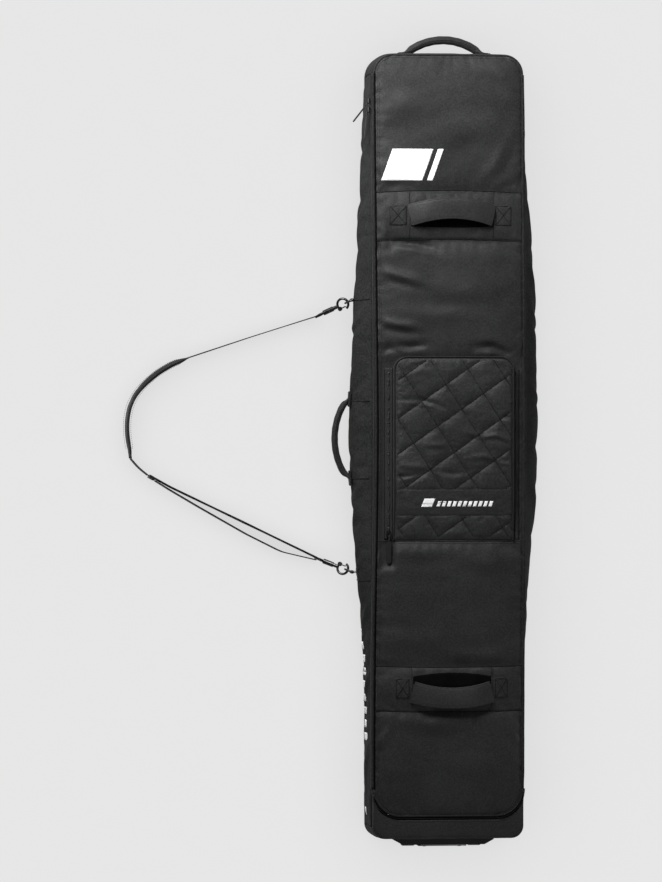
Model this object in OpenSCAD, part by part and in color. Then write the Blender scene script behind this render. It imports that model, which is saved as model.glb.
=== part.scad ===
// Wheeled snowboard bag, lying on its back. +Y points to the nose, +X to the lid's hinge side,
// +Z out of the front panel. The origin is on the underside, at the middle of the bag.

/* [Body] */
// Length of the bag from tail to nose
body_len = 1680; // [1640:10:1760]
// Width of the front panel
body_w = 325; // [315:5:345]
// Depth from the underside to the front panel
body_d = 150; // [145:5:165]
// Thickness of the padded walls
wall = 4; // [3:0.5:5]
// Corner radius at the nose
nose_r = 42; // [30:1:50]
// Corner radius at the tail
tail_r = 25; // [18:1:32]
// How far each side stands out at its fullest
bulge = 42; // [20:1:50]
// Place of the fullest section along the bag
bulge_y = 57; // [40:1:75]
// Distance from the fullest section to where the sides run straight
bulge_reach = 683; // [600:1:690]

/* [Lid] */
// Distance of the lid's rounded end from the tail
lid_setback = 47; // [40:1:60]
// Corner radius of the lid at the tail
lid_tail_r = 60; // [45:1:75]
// Height of the straight band that carries the main zip
zip_band = 26; // [24:1:34]

/* [Pocket] */
// Width of the quilted pocket
pocket_w = 261; // [240:1:270]
// Length of the quilted pocket
pocket_len = 394; // [340:1:420]
// How far the pocket stands off the lid
pocket_h = 14; // [12:1:20]

/* [Handles] */
// Width of the flat grab straps
grab_w = 44; // [38:1:50]
// Free length of a grab strap
grab_span = 181; // [160:1:200]
// Rise of a grab strap over the lid
grab_rise = 20; // [16:1:24]
// Thickness of the rolled nose handle
nose_handle_d = 19; // [16:1:22]
// Thickness of the rolled side handle
side_handle_d = 15; // [12:1:18]

/* [Wheels] */
// Wheel radius
wheel_r = 36; // [30:1:36]
// Wheel width
wheel_w = 30; // [24:1:31]
// Distance of each wheel from the middle
wheel_x = 72; // [70:1:76]
// How far the wheels stand past the tail
wheel_proud = 22; // [18:1:26]
// Axle radius
axle_r = 4; // [3:0.5:5]

/* [Shoulder strap] */
// Width of the shoulder webbing
web_w = 38; // [30:1:40]
// Thickness of the shoulder webbing
web_t = 2.4; // [2:0.1:3]
// Width of the shoulder pad
pad_w = 52; // [44:1:60]
// Thickness of the shoulder pad
pad_t = 11; // [8:1:13]
// Length of a snap hook from the ring's bar to its eye
hook_len = 84; // [80:1:92]

/* [Hidden] */

round_fn = 64;
small_fn = 32;
half_w = body_w / 2;
half_len = body_len / 2;
gap = 0.4;               // air between neighbouring bodies
skin_t = 2;              // outer fabric of the lid
back_t = 3;              // outer fabric of the back
board_t = 2;
foam_t = 5;
lining_t = 1;
wall_top = body_d - skin_t - gap;
bulge_top = body_d - zip_band;
lining_z = back_t + board_t + foam_t;
lining_top = lining_z + lining_t;
side_z = 62;             // height of the side handle and of the strap's anchors
lid_tail_y = -half_len + lid_setback;

nose_taper = half_len - nose_r - bulge_y; // the bulge runs out where the nose corner starts
taper_share = 0.65;      // how straight the bag narrows towards its nose
// Share of the full bulge at a place along the bag: a wave towards the tail, straighter to the nose
function wave(t) = abs(t) < 1 ? pow(cos(90 * t), 2) : 0;
function bump(y) =
    let (t = (y - bulge_y) / nose_taper)
    t < 0 ? wave((y - bulge_y) / bulge_reach)
          : taper_share * max(0, 1 - t) + (1 - taper_share) * wave(t);
// Distance of the side wall's outer face from the middle plane
function side_x(y, z) =
    half_w + (z < bulge_top ? bulge * bump(y) * sin(180 * (z - back_t) / (bulge_top - back_t)) : 0);

// A closed skin through rings of points. Point j of a ring lies across from point n - 1 - j.
module loft(rings) {
    n = len(rings[0]);
    last = len(rings) - 1;
    end = last * n;
    sides = [
        for (i = [0:last - 1], j = [0:n - 1])
            let (k = (j + 1) % n, a = i * n, b = a + n)
            each [[a + j, a + k, b + k], [a + j, b + k, b + j]]
    ];
    caps = [
        for (j = [0:n / 2 - 2])
            let (k = n - 1 - j)
            each [
                [j + 1, j, k], [j + 1, k, k - 1],
                [end + j, end + j + 1, end + k], [end + j + 1, end + k - 1, end + k]
            ]
    ];
    polyhedron([for (r = rings) each r], concat(sides, caps), convexity = 8);
}

// A panel that lies flat, with its own corner radius at each end
module panel2d(w, y0, y1, r0, r1) {
    translate([-w / 2, y0 + r0]) square([w, y1 - y0 - r0 - r1]);
    translate([-w / 2 + r0, y0]) square([w - 2 * r0, r0 + 1]);
    translate([-w / 2 + r1, y1 - r1 - 1]) square([w - 2 * r1, r1 + 1]);
    for (s = [-1, 1]) {
        translate([s * (w / 2 - r0), y0 + r0]) circle(r0, $fn = round_fn);
        translate([s * (w / 2 - r1), y1 - r1]) circle(r1, $fn = round_fn);
    }
}
module planform(inset) {
    panel2d(body_w - 2 * inset, -half_len + inset, half_len - inset, tail_r - inset, nose_r - inset);
}
module lid_outline(inset) {
    panel2d(body_w - 2 * inset, lid_tail_y + inset, half_len - inset,
        lid_tail_r - inset, nose_r - inset);
}
module plate(z, t) {
    translate([0, 0, z]) linear_extrude(t) children();
}
module band2d(y0, y1) {
    translate([-body_w, y0]) square([2 * body_w, y1 - y0]);
}
// A cylinder that lies along X or along Y
module bar_x(x0, x1, y, z, r) {
    translate([x0, y, z]) rotate([0, 90, 0]) cylinder(h = x1 - x0, r = r, $fn = small_fn);
}
module bar_y(y0, y1, x, z, r) {
    translate([x, y1, z]) rotate([90, 0, 0]) cylinder(h = y1 - y0, r = r, $fn = small_fn);
}

// ---- wheel base sizes
base_half = 109;         // half the width of the moulded base
base_front = -half_len + 72;
base_top = 82;
wheel_z = wheel_r + 1;
wheel_y = -half_len - wheel_proud + wheel_r;
well_half = wheel_w / 2 + 2;
bearing_r = 11;
hub_r = 24;

module base_hole2d() {
    translate([-base_half - 1, -half_len - 1]) square([2 * base_half + 2, base_front + half_len + 2]);
}

// ---- shell of the bag
module back_panel() {
    color("#1b1c1e") plate(0, back_t) difference() {
        planform(0);
        base_hole2d();
    }
}
base_clear = 3;          // inner layers stop this far short of the wheel base
module inside2d(inset) {
    difference() {
        planform(inset);
        translate([0, base_clear]) base_hole2d();
    }
}
module base_board() {
    color("#d8d8d2") plate(back_t, board_t) inside2d(wall + 8);
}
module back_foam() {
    color("#3c3f42") plate(back_t + board_t, foam_t) inside2d(wall + 2);
}
module base_lining() {
    color("#55585c") plate(lining_z, lining_t) inside2d(wall + 1);
}
gusset_steps = 24;       // stations along a gusset
gusset_rise = 8;         // points up its bulging part. The right gusset goes on up to the hinge
function gusset_ring(side, y) =
    let (
        zs = [for (i = [0:gusset_rise]) back_t + (bulge_top - back_t) * i / gusset_rise],
        outer = [for (z = zs) [side * side_x(y, z), y, z]],
        inner = [for (z = zs) [side * (side_x(y, z) - wall), y, z]],
        top = side > 0 ? [[half_w, y, wall_top], [half_w - wall, y, wall_top]] : [],
        back = [for (i = [gusset_rise:-1:0]) inner[i]],
        ring = concat(outer, top, back)
    )
    side > 0 ? ring : [for (i = [len(ring) - 1:-1:0]) ring[i]];
gusset_y0 = -half_len + tail_r;
gusset_y1 = half_len - nose_r;
module gusset(side) {
    loft([
        for (i = [0:gusset_steps])
            gusset_ring(side, gusset_y1 + (gusset_y0 - gusset_y1) * i / gusset_steps)
    ]);
}
module left_gusset() { color("#1b1c1e") gusset(-1); }
module right_gusset() { color("#1b1c1e") gusset(1); }
// The straight band that the main zip is sewn to, above the bulging left side
module left_zip_band() {
    color("#1b1c1e") translate([-half_w, gusset_y0, bulge_top])
        cube([wall, gusset_y1 - gusset_y0, wall_top - bulge_top]);
}
module end_wall(y0, y1) {
    plate(back_t, wall_top - back_t) intersection() {
        difference() {
            planform(0);
            planform(wall);
        }
        band2d(y0, y1);
    }
}
module nose_panel() {
    color("#1b1c1e") end_wall(half_len - nose_r, half_len + 1);
}
module tail_panel() {
    color("#1b1c1e") difference() {
        end_wall(-half_len - 1, -half_len + tail_r);
        translate([-base_half - 1, -half_len - 1, 0])
            cube([2 * base_half + 2, base_front + half_len + 2, base_top + 1]);
    }
}
module tail_front_strip() {
    color("#1b1c1e") plate(wall_top, body_d - wall_top) difference() {
        intersection() {
            planform(0);
            band2d(-half_len - 1, lid_tail_y + lid_tail_r * 0.75);
        }
        lid_outline(-1);
    }
}

// ---- main zip: a straight run down the left side, then round the lid's tail end
zip_y1 = 746;            // top of the zip
zip_y0 = lid_tail_y + lid_tail_r;
zip_mid_z = body_d - 19.5;
zip_half_w = 4.6;
zip_t = 2.5;
zip_end_t = 2.2;         // thickness where the zip lies in the front
module zip_run(z0, z1) {
    translate([-half_w - gap - zip_t, zip_y0, z0]) cube([zip_t, zip_y1 - zip_y0, z1 - z0]);
}
module zip_end2d(inset0, inset1) {
    intersection() {
        difference() {
            lid_outline(inset0);
            lid_outline(inset1);
        }
        band2d(-half_len, zip_y0);
        planform(wall);
    }
}
module main_zip_body_half() {
    color("#0f0f10") {
        translate([-half_w - gap, zip_y0, zip_mid_z - zip_half_w])
            cube([gap, zip_y1 - zip_y0, zip_half_w - 0.2]);
        zip_run(zip_mid_z - zip_half_w, zip_mid_z - 0.2);
        plate(wall_top - zip_end_t, zip_end_t) zip_end2d(-5, 5);
    }
}
module main_zip_lid_half() {
    color("#0f0f10") {
        zip_run(zip_mid_z + 0.2, zip_mid_z + zip_half_w);
        plate(body_d - skin_t - zip_end_t, zip_end_t) zip_end2d(5.5, 10);
    }
}

// ---- lid
lid_over = 0.5;          // the lid's edge stands this far past the walls
module lid_panel() {
    color("#1b1c1e") plate(body_d - skin_t, skin_t) lid_outline(-lid_over);
}
module lid_foam() {
    color("#3c3f42") plate(body_d - skin_t - foam_t, foam_t) lid_outline(12);
}
module lid_lining() {
    color("#55585c") plate(body_d - skin_t - foam_t - lining_t, lining_t) lid_outline(11);
}
flap_t = 2;
module rain_flap() {
    z0 = zip_mid_z + zip_half_w;
    color("#111112") translate([-half_w - lid_over - flap_t, zip_y0, z0])
        cube([flap_t, half_len - nose_r - zip_y0, body_d - z0]);
}
pipe_r = 2.2;
module left_piping() {
    color("#111112") bar_y(zip_y0, half_len - nose_r, -half_w + 3, body_d + pipe_r, pipe_r);
}
module right_piping() {
    color("#111112") bar_y(zip_y0, half_len - nose_r, half_w + pipe_r, body_d - 6, pipe_r);
}

// ---- grab straps on the lid
grab_x = 5.5;            // middle of the straps across the lid
upper_grab_y = 494;
lower_grab_y = -517;
handle_panel_t = 1.2;
grab_end_len = 37;
grab_end_t = 2.2;
grab_t = 3.2;
module handle_panel(y, len) {
    plate(body_d, handle_panel_t) translate([-half_w + 12, y - len / 2]) square([body_w - 18, len]);
}
module upper_handle_panel() { color("#1b1c1e") handle_panel(upper_grab_y - 3, 103); }
module lower_handle_panel() { color("#1b1c1e") handle_panel(lower_grab_y, 94); }
module grab_ends(y) {
    for (s = [-1, 1])
        translate([grab_x + s * (grab_span / 2 + grab_end_len / 2 + 3), y, body_d + handle_panel_t])
            translate([-grab_end_len / 2, -grab_w / 2, 0]) cube([grab_end_len, grab_w, grab_end_t]);
}
module upper_grab_ends() { color("#111112") grab_ends(upper_grab_y); }
module lower_grab_ends() { color("#111112") grab_ends(lower_grab_y); }
grab_z = body_d + handle_panel_t + gap;
grab_r = (pow(grab_span / 2, 2) + pow(grab_rise, 2)) / (2 * grab_rise);
module grab_strap(y) {
    translate([grab_x, y + grab_w / 2, grab_z + grab_rise - grab_r]) rotate([90, 0, 0])
        linear_extrude(grab_w) intersection() {
            difference() {
                circle(grab_r + grab_t, $fn = 4 * round_fn);
                circle(grab_r, $fn = 4 * round_fn);
            }
            translate([-grab_span / 2, grab_r - grab_rise])
                square([grab_span, grab_rise + grab_t + 1]);
        }
}
module upper_grab_strap() { color("#151517") grab_strap(upper_grab_y); }
module lower_grab_strap() { color("#151517") grab_strap(lower_grab_y); }

// ---- pocket
pocket_x = 10.5;
pocket_y = -4;
pocket_wall = 2.5;
pocket_r = 28;
pocket_tail_r = 6;
module pocket2d(inset) {
    translate([pocket_x, pocket_y])
        panel2d(pocket_w - 2 * inset, -pocket_len / 2 + inset, pocket_len / 2 - inset,
            pocket_tail_r - inset, pocket_r - inset);
}
module pocket_shell() {
    color("#1d1e20") {
        plate(body_d, pocket_h - pocket_wall) difference() {
            pocket2d(0);
            pocket2d(pocket_wall);
        }
        plate(body_d + pocket_h - pocket_wall, pocket_wall) pocket2d(0);
    }
}
band_len = 56;
module pocket_band() {
    color("#17181a") plate(body_d + pocket_h, 1.2)
        translate([pocket_x - pocket_w / 2 + 3, pocket_y - pocket_len / 2 + 49])
            square([pocket_w - 6, band_len]);
}
module pocket_piping() {
    color("#111112") plate(body_d + pocket_h, 3) difference() {
        pocket2d(-1.5);
        pocket2d(1.5);
        translate([pocket_x - pocket_w, pocket_y - pocket_len])
            square([2 * pocket_w, pocket_len]);
    }
}
pocket_zip_x = pocket_x - pocket_w / 2 - 9.5;
pocket_zip_y0 = -189;
pocket_zip_y1 = 168;
module pocket_zip() {
    color("#0f0f10") translate([pocket_zip_x - 5, pocket_zip_y0 - 12, body_d])
        cube([10, pocket_zip_y1 - pocket_zip_y0 + 12, 1.4]);
}

// ---- zip sliders: the face looks along +Z and the zip runs along Y
slider_w = 9;
slider_len = 14;
slider_t = 4;
pin_r = 0.8;
pin_z = slider_t + 1.9;
pin_y = -4;
module slider() {
    translate([-slider_w / 2, -slider_len / 2, 0]) cube([slider_w, slider_len, slider_t]);
    for (s = [-1, 1])
        translate([s * 3.2 - 0.8, pin_y - 1.8, slider_t - 0.1]) cube([1.6, 3.6, 3.6]);
    bar_x(-3.2, 3.2, pin_y, pin_z, pin_r);
}
// A pull that lies along -Y from its eye at the origin
module pull(len, w, t) {
    difference() {
        union() {
            bar_x(-1.9, 1.9, 0, 0, 1.6);
            translate([-1.9, -13, -0.7]) cube([3.8, 13, 1.4]);
            translate([-w / 2, -len + w / 2, -t / 2]) cube([w, len - w / 2 - 12, t]);
            translate([0, -len + w / 2, -t / 2]) cylinder(h = t, r = w / 2, $fn = small_fn);
        }
        bar_x(-3, 3, 0, 0, pin_r + 0.08);
    }
}
// Carries a slider's frame to the left side, with its face towards -X
slider_x = -half_w - gap - zip_t - 1.1;
module on_left(y) {
    translate([slider_x, y, zip_mid_z]) rotate([0, -90, 0]) children();
}
upper_slider_y = 738;
lower_slider_y = 719;
upper_pull_angle = 38;   // degrees that each pull hangs away from the side
lower_pull_angle = 6;
module upper_slider() { color("#2a2b2d") on_left(upper_slider_y) slider(); }
module lower_slider() { color("#2a2b2d") on_left(lower_slider_y) slider(); }
module upper_pull() {
    color("#101011") on_left(upper_slider_y) translate([0, pin_y, pin_z])
        rotate([-upper_pull_angle, 0, 0]) pull(50, 8, 3);
}
module lower_pull() {
    color("#101011") on_left(lower_slider_y) translate([0, pin_y, pin_z])
        rotate([-lower_pull_angle, 0, 0]) pull(58, 7, 3);
}
pocket_slider_y = -188;
pocket_pull_droop = 4;   // degrees that the pull dips towards the lid
module on_pocket_zip() {
    translate([pocket_zip_x, pocket_slider_y, body_d + 1.8]) children();
}
module pocket_slider() { color("#2a2b2d") on_pocket_zip() slider(); }
module pocket_pull() {
    color("#101011") on_pocket_zip() translate([0, pin_y, pin_z])
        rotate([pocket_pull_droop, 0, 0]) pull(58, 10, 3);
}

// ---- rolled handles: an arc of a ring, with round ends on the line that it turns about
end_swell = 0.6;         // the handles' round ends are a little fuller than the roll
nose_axis_y = half_len + nose_handle_d / 2 + 2.4;
nose_half = 72.5;
nose_rise = 23;
side_axis_x = -half_w - bulge - side_handle_d / 2 - 2.4;
side_half = 74.5;
side_rise = 20;
side_handle_y = 17;
module rolled_handle(half, rise, d) {
    r = (half * half + rise * rise) / (2 * rise);
    a = asin(half / r);
    translate([0, rise - r, 0]) rotate([0, 0, 90 - a])
        rotate_extrude(angle = 2 * a, $fn = 2 * round_fn)
            translate([r, 0]) circle(d / 2, $fn = small_fn);
    for (s = [-1, 1]) translate([s * half, 0, 0]) sphere(d / 2 + end_swell, $fn = small_fn);
}
module nose_handle() {
    color("#151517") translate([0, nose_axis_y, body_d / 2])
        rolled_handle(nose_half, nose_rise, nose_handle_d);
}
module side_handle() {
    color("#151517") translate([side_axis_x, side_handle_y, side_z]) rotate([0, 0, 90])
        rolled_handle(side_half, side_rise, side_handle_d);
}
patch_t = 1;
module nose_handle_patches() {
    color("#111112") for (s = [-1, 1])
        translate([s * nose_half - 20, half_len, body_d / 2 - 16]) cube([40, patch_t, 32]);
}
module side_handle_patches() {
    color("#111112") for (s = [-1, 1]) {
        y = side_handle_y + s * side_half;
        x = side_x(y, side_z);
        translate([-x - 0.5, y - 12, side_z - 12]) cube([2, 24, 24]);
    }
}

// ---- strap anchors, rings and hooks
ring_x = -197;
ring_r = 16;
wire_r = 2;
tip_swell = 0.3;         // round ends and corners are a little fuller than the wire
tab_r = 4;
tab_half = 11;
upper_anchor_y = 315;
lower_anchor_y = -270;
// A tab stands on edge and wraps a ring's upright bar
module anchor_tab(y) {
    face = side_x(y, side_z) - 1;
    difference() {
        union() {
            translate([ring_x, y, side_z])
                cylinder(h = 2 * tab_half, r = tab_r, center = true, $fn = small_fn);
            translate([ring_x, y - 1.5, side_z - tab_half]) cube([-ring_x - face, 3, 2 * tab_half]);
        }
        translate([ring_x, y, side_z])
            cylinder(h = 2 * tab_half + 2, r = wire_r + 0.05, center = true, $fn = small_fn);
    }
}
module anchor_tabs() {
    color("#111112") {
        anchor_tab(upper_anchor_y);
        anchor_tab(lower_anchor_y);
    }
}
upper_eye = [-283, 274, 24];
lower_eye = [-267, -242, 24];
// Carries a frame whose +X runs from an anchor towards an eye. turn rolls it about that line.
module hook_frame(y, eye, turn = 0) {
    d = eye - [ring_x, y, side_z];
    translate([ring_x, y, side_z]) rotate([0, -asin(d[2] / norm(d)), atan2(d[1], d[0])])
        rotate([turn, 0, 0]) children();
}
// A D-shaped ring that stands upright, facing its eye
module ring(y, eye) {
    d = eye - [ring_x, y, side_z];
    translate([ring_x, y, side_z]) rotate([0, 0, atan2(d[1], d[0])]) {
        cylinder(h = 2 * ring_r, r = wire_r, center = true, $fn = small_fn);
        rotate([90, 0, 0]) rotate([0, 0, -90]) rotate_extrude(angle = 180, $fn = round_fn)
            translate([ring_r, 0]) circle(wire_r, $fn = small_fn);
        for (s = [-1, 1]) translate([0, 0, s * ring_r]) sphere(wire_r + tip_swell, $fn = small_fn);
    }
}
module anchor_rings() {
    color("#3a3b3d") {
        ring(upper_anchor_y, upper_eye);
        ring(lower_anchor_y, lower_eye);
    }
}
loop_r = 12;
loop_x = 22;
hook_wire = 2.6;
gate_gap = 85;           // degrees of the loop that the gate closes
gate_a = 35;             // where the open stretch starts, from the shank
gate_r = 1.4;
knuckle_r = 2.2;
gate_pivot = [loop_x + loop_r * cos(gate_a), 0, loop_r * sin(gate_a)];
tip_reach = loop_r - hook_wire - gate_r - 0.2; // the gate's tip rests inside the hook's nose
gate_tip = [loop_x + tip_reach * cos(gate_a + gate_gap), 0, tip_reach * sin(gate_a + gate_gap)];
swivel_x = 46;
nose_lap = 12;           // degrees that the hook's nose reaches past the gate's tip
knuckle_clear = 13;      // degrees of the loop kept clear of the gate's knuckle
ear_r = 4.5;
module hook_shape() {
    translate([loop_x, 0, 0]) rotate([90, 0, 0]) rotate([0, 0, gate_a + gate_gap - nose_lap])
        rotate_extrude(angle = 360 - gate_gap + nose_lap - knuckle_clear, $fn = round_fn)
            translate([loop_r, 0]) circle(hook_wire, $fn = small_fn);
    translate([loop_x + loop_r, 0, 0]) rotate([0, 90, 0])
        cylinder(h = swivel_x - loop_x - loop_r, r = 4, $fn = small_fn);
    for (s = [-1, 1]) translate(gate_pivot) translate([0, s * 2.3, 0]) rotate([90, 0, 0])
        cylinder(h = 1, r = ear_r, center = true, $fn = small_fn);
    translate(gate_pivot) rotate([90, 0, 0]) cylinder(h = 5, r = pin_r, center = true, $fn = small_fn);
}
module gate_shape() {
    d = gate_tip - gate_pivot;
    difference() {
        union() {
            translate(gate_pivot) rotate([90, 0, 0])
                cylinder(h = 3.2, r = knuckle_r, center = true, $fn = small_fn);
            translate(gate_pivot) rotate([0, atan2(d[0], d[2]), 0])
                cylinder(h = norm(d), r = gate_r, $fn = small_fn);
        }
        translate(gate_pivot) rotate([90, 0, 0])
            cylinder(h = 10, r = pin_r + 0.08, center = true, $fn = small_fn);
    }
}
eye_h = web_w + 8;
eye_len = 15;
module swivel_shape() {
    translate([swivel_x, 0, 0]) rotate([0, 90, 0])
        cylinder(h = hook_len - eye_len - swivel_x, r = 5.5, $fn = small_fn);
    translate([hook_len - eye_len, 0, 0]) difference() {
        translate([0, -2.5, -eye_h / 2]) cube([eye_len, 5, eye_h]);
        translate([4, -4, -web_w / 2 - 0.5]) cube([eye_len - 8, 8, web_w + 1]);
    }
}
// The hooks lie flat, each with its gate on the side away from its solid arm
upper_roll = -90;        // gate towards the tail
lower_roll = 90;         // gate towards the nose
module at_both_hooks(rolled = 1) {
    hook_frame(upper_anchor_y, upper_eye, rolled * upper_roll) children();
    hook_frame(lower_anchor_y, lower_eye, rolled * lower_roll) children();
}
module snap_hooks() { color("#3a3b3d") at_both_hooks() hook_shape(); }
module hook_swivels() { color("#3a3b3d") at_both_hooks(rolled = 0) swivel_shape(); }
module upper_gate() { color("#4a4b4d") hook_frame(upper_anchor_y, upper_eye, upper_roll) gate_shape(); }
module lower_gate() { color("#4a4b4d") hook_frame(lower_anchor_y, lower_eye, lower_roll) gate_shape(); }

// ---- shoulder webbing: it stands on edge along routes on the floor
function unit(v) = v / norm(v);
function side_of(p, i) =
    let (d = unit(p[min(i + 1, len(p) - 1)] - p[max(i - 1, 0)])) [-d[1], d[0]];
module ribbon(p, t) {
    near = [for (i = [0:len(p) - 1]) p[i] + side_of(p, i) * t / 2];
    far = [for (i = [len(p) - 1:-1:0]) p[i] - side_of(p, i) * t / 2];
    polygon(concat(near, far));
}
pad_route = [
    [-548, 190], [-584, 176], [-614, 158], [-641, 135], [-662, 110],
    [-674, 84], [-679, 56], [-679, 28], [-671, -26]
];
long_start = [[-269.5, 280.5], [-410, 236], [-547, 190.6]];
pad_tail = [[-670.5, -27], [-654, -46], [-634, -62]];
doubled_near = [[-618, -69], [-586, -87], [-440, -157], [-269, -239.5]];
doubled_far = [
    [-618, -74], [-586, -94], [-523, -131], [-421, -189], [-345, -227], [-270.5, -244.5]
];
module long_webbing() {
    color("#0f0f10") plate(0, web_w) {
        ribbon(long_start, web_t);
        ribbon(pad_tail, web_t);
    }
}
module doubled_webbing() {
    color("#0f0f10") plate(0, web_w) {
        ribbon(doubled_near, web_t);
        ribbon(doubled_far, web_t);
    }
}
module shoulder_pad() { color("#151517") plate(0, pad_w) ribbon(pad_route, pad_t); }
module strap_adjuster() {
    color("#2a2b2d") translate([-626, -67, 0]) rotate([0, 0, -31]) difference() {
        translate([-6.5, -3.5, 0]) cube([13, 7, web_w + 8]);
        for (x = [-4.6, 1.6]) translate([x, -5, 4]) cube([3, 10, web_w]);
    }
}

// ---- wheel base, wheels and axles
module base2d() {
    y0 = base_front - 0.6;
    polygon([
        [-base_half, y0], [-base_half, -half_len - 6], [-base_half + 20, -half_len - 17],
        [base_half - 20, -half_len - 17], [base_half, -half_len - 6], [base_half, y0]
    ]);
}
module wheel_base() {
    color("#141415") difference() {
        plate(1, base_top - 1) base2d();
        for (s = [-1, 1])
            translate([s * wheel_x - well_half, wheel_y - 60, -1])
                cube([2 * well_half, 60 + wheel_r + 3, wheel_z + wheel_r + 4]);
        translate([-wheel_x + well_half + 4, -half_len - 12, -1])
            cube([2 * (wheel_x - well_half - 4), base_front + half_len + 6, base_top - 4]);
        bar_x(-base_half - 1, base_half + 1, wheel_y, wheel_z, axle_r);
    }
}
module kick_bar() {
    bar_y0 = -half_len - 21;
    color("#0c0c0d") translate([-wheel_x + well_half + 3, bar_y0, 16])
        cube([2 * (wheel_x - well_half - 3), -half_len - 17 - bar_y0, 48]);
}
module kick_bar_screws() {
    color("#5a5b5d") for (x = [-38, 38], z = [28, 52])
        bar_y(-half_len - 22.5, -half_len - 21, x, z, 4);
}
module wheel_axles() {
    color("#6a6b6d") for (s = [-1, 1])
        bar_x(s * wheel_x - well_half - 12, s * wheel_x + well_half + 12, wheel_y, wheel_z, axle_r);
}
module on_axle(side) {
    translate([side * wheel_x, wheel_y, wheel_z]) rotate([0, 90, 0]) children();
}
module tube(r0, r1, w) {
    rotate_extrude($fn = round_fn) translate([r0, -w / 2]) square([r1 - r0, w]);
}
module tyre_shape() {
    crown = 4;
    rotate_extrude($fn = round_fn) {
        translate([hub_r, -wheel_w / 2]) square([wheel_r - hub_r - crown, wheel_w]);
        translate([hub_r, -wheel_w / 2 + crown]) square([wheel_r - hub_r, wheel_w - 2 * crown]);
        for (s = [-1, 1])
            translate([wheel_r - crown, s * (wheel_w / 2 - crown)]) circle(crown, $fn = small_fn);
    }
}
bearing_w = 7;
module hub_shape() {
    difference() {
        union() {
            tube(hub_r - 4, hub_r, wheel_w);
            tube(bearing_r, bearing_r + 3, wheel_w - 2);
            tube(bearing_r + 2, hub_r - 3, 6);
            tube(axle_r + 1.5, bearing_r + 1, wheel_w - 2 - 2 * bearing_w);
        }
        for (a = [0:60:300]) rotate([0, 0, a]) translate([17, 0, 0])
            cylinder(h = 8, r = 2.2, center = true, $fn = small_fn);
    }
}
module bearings_shape() {
    for (s = [-1, 1]) translate([0, 0, s * (wheel_w / 2 - 1 - bearing_w / 2)])
        tube(axle_r + 0.05, bearing_r, bearing_w);
}
module left_tyre() { color("#1a1a1a") on_axle(-1) tyre_shape(); }
module right_tyre() { color("#1a1a1a") on_axle(1) tyre_shape(); }
module left_hub() { color("#3a3b3d") on_axle(-1) hub_shape(); }
module right_hub() { color("#3a3b3d") on_axle(1) hub_shape(); }
module left_bearings() { color("#9a9b9d") on_axle(-1) bearings_shape(); }
module right_bearings() { color("#9a9b9d") on_axle(1) bearings_shape(); }

// ---- tie-down straps inside
inner_y = [-350, 350];
inner_w = 25;
module inner_straps() {
    color("#0f0f10") for (y = inner_y, s = [-1, 1])
        translate([s > 0 ? 24 : -half_w + wall + 2, y - inner_w / 2, lining_top])
            cube([half_w - wall - 26, inner_w, 1.5]);
}
module inner_buckles() {
    color("#141415") for (y = inner_y) translate([-23.5, y - 17, lining_top]) difference() {
        cube([47, 34, 9]);
        for (x = [4, 38]) translate([x, 4, -1]) cube([5, 26, 11]);
    }
}

back_panel();
base_board();
back_foam();
base_lining();
left_gusset();
right_gusset();
left_zip_band();
nose_panel();
tail_panel();
tail_front_strip();
main_zip_body_half();
right_piping();
nose_handle_patches();
side_handle_patches();
anchor_tabs();
wheel_base();
kick_bar();
kick_bar_screws();
wheel_axles();
inner_straps();
inner_buckles();
left_tyre();
left_hub();
left_bearings();
right_tyre();
right_hub();
right_bearings();
lid_panel();
lid_foam();
lid_lining();
rain_flap();
left_piping();
main_zip_lid_half();
upper_handle_panel();
lower_handle_panel();
upper_grab_ends();
lower_grab_ends();
pocket_shell();
pocket_band();
pocket_piping();
pocket_zip();
upper_grab_strap();
lower_grab_strap();
upper_slider();
upper_pull();
lower_slider();
lower_pull();
pocket_slider();
pocket_pull();
nose_handle();
side_handle();
anchor_rings();
snap_hooks();
hook_swivels();
upper_gate();
lower_gate();
long_webbing();
doubled_webbing();
shoulder_pad();
strap_adjuster();
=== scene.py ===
"""Looks of the snowboard bag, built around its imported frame.

Lengths are in millimetres, except the camera's and the lamps', which are in metres.
"""

import math

import bpy
import numpy as np
from mathutils import Matrix, Vector
from mathutils.bvhtree import BVHTree


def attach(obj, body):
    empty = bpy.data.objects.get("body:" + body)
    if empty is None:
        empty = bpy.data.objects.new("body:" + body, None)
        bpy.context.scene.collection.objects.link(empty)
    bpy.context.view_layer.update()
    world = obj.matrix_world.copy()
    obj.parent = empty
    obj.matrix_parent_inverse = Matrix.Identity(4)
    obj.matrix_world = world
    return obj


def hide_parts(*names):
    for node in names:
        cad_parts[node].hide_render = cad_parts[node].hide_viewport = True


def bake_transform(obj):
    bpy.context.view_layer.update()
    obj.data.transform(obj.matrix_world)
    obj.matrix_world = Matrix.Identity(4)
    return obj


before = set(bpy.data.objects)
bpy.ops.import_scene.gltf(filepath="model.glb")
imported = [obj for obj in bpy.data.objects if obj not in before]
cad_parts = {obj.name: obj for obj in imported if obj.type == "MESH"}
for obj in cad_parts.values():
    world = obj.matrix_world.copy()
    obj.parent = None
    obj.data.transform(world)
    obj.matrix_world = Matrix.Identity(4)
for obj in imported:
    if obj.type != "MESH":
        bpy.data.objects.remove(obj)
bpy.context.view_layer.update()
scene = bpy.context.scene
MM = 0.001
UP = (0.0, 0.0, 1.0)


# ---------------------------------------------------------------- numbers and fields
def ramp(a, b, x):
    """0 before a, 1 after b, smooth between."""
    t = np.clip((np.asarray(x, float) - a) / (b - a), 0, 1)
    return t * t * (3 - 2 * t)


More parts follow.
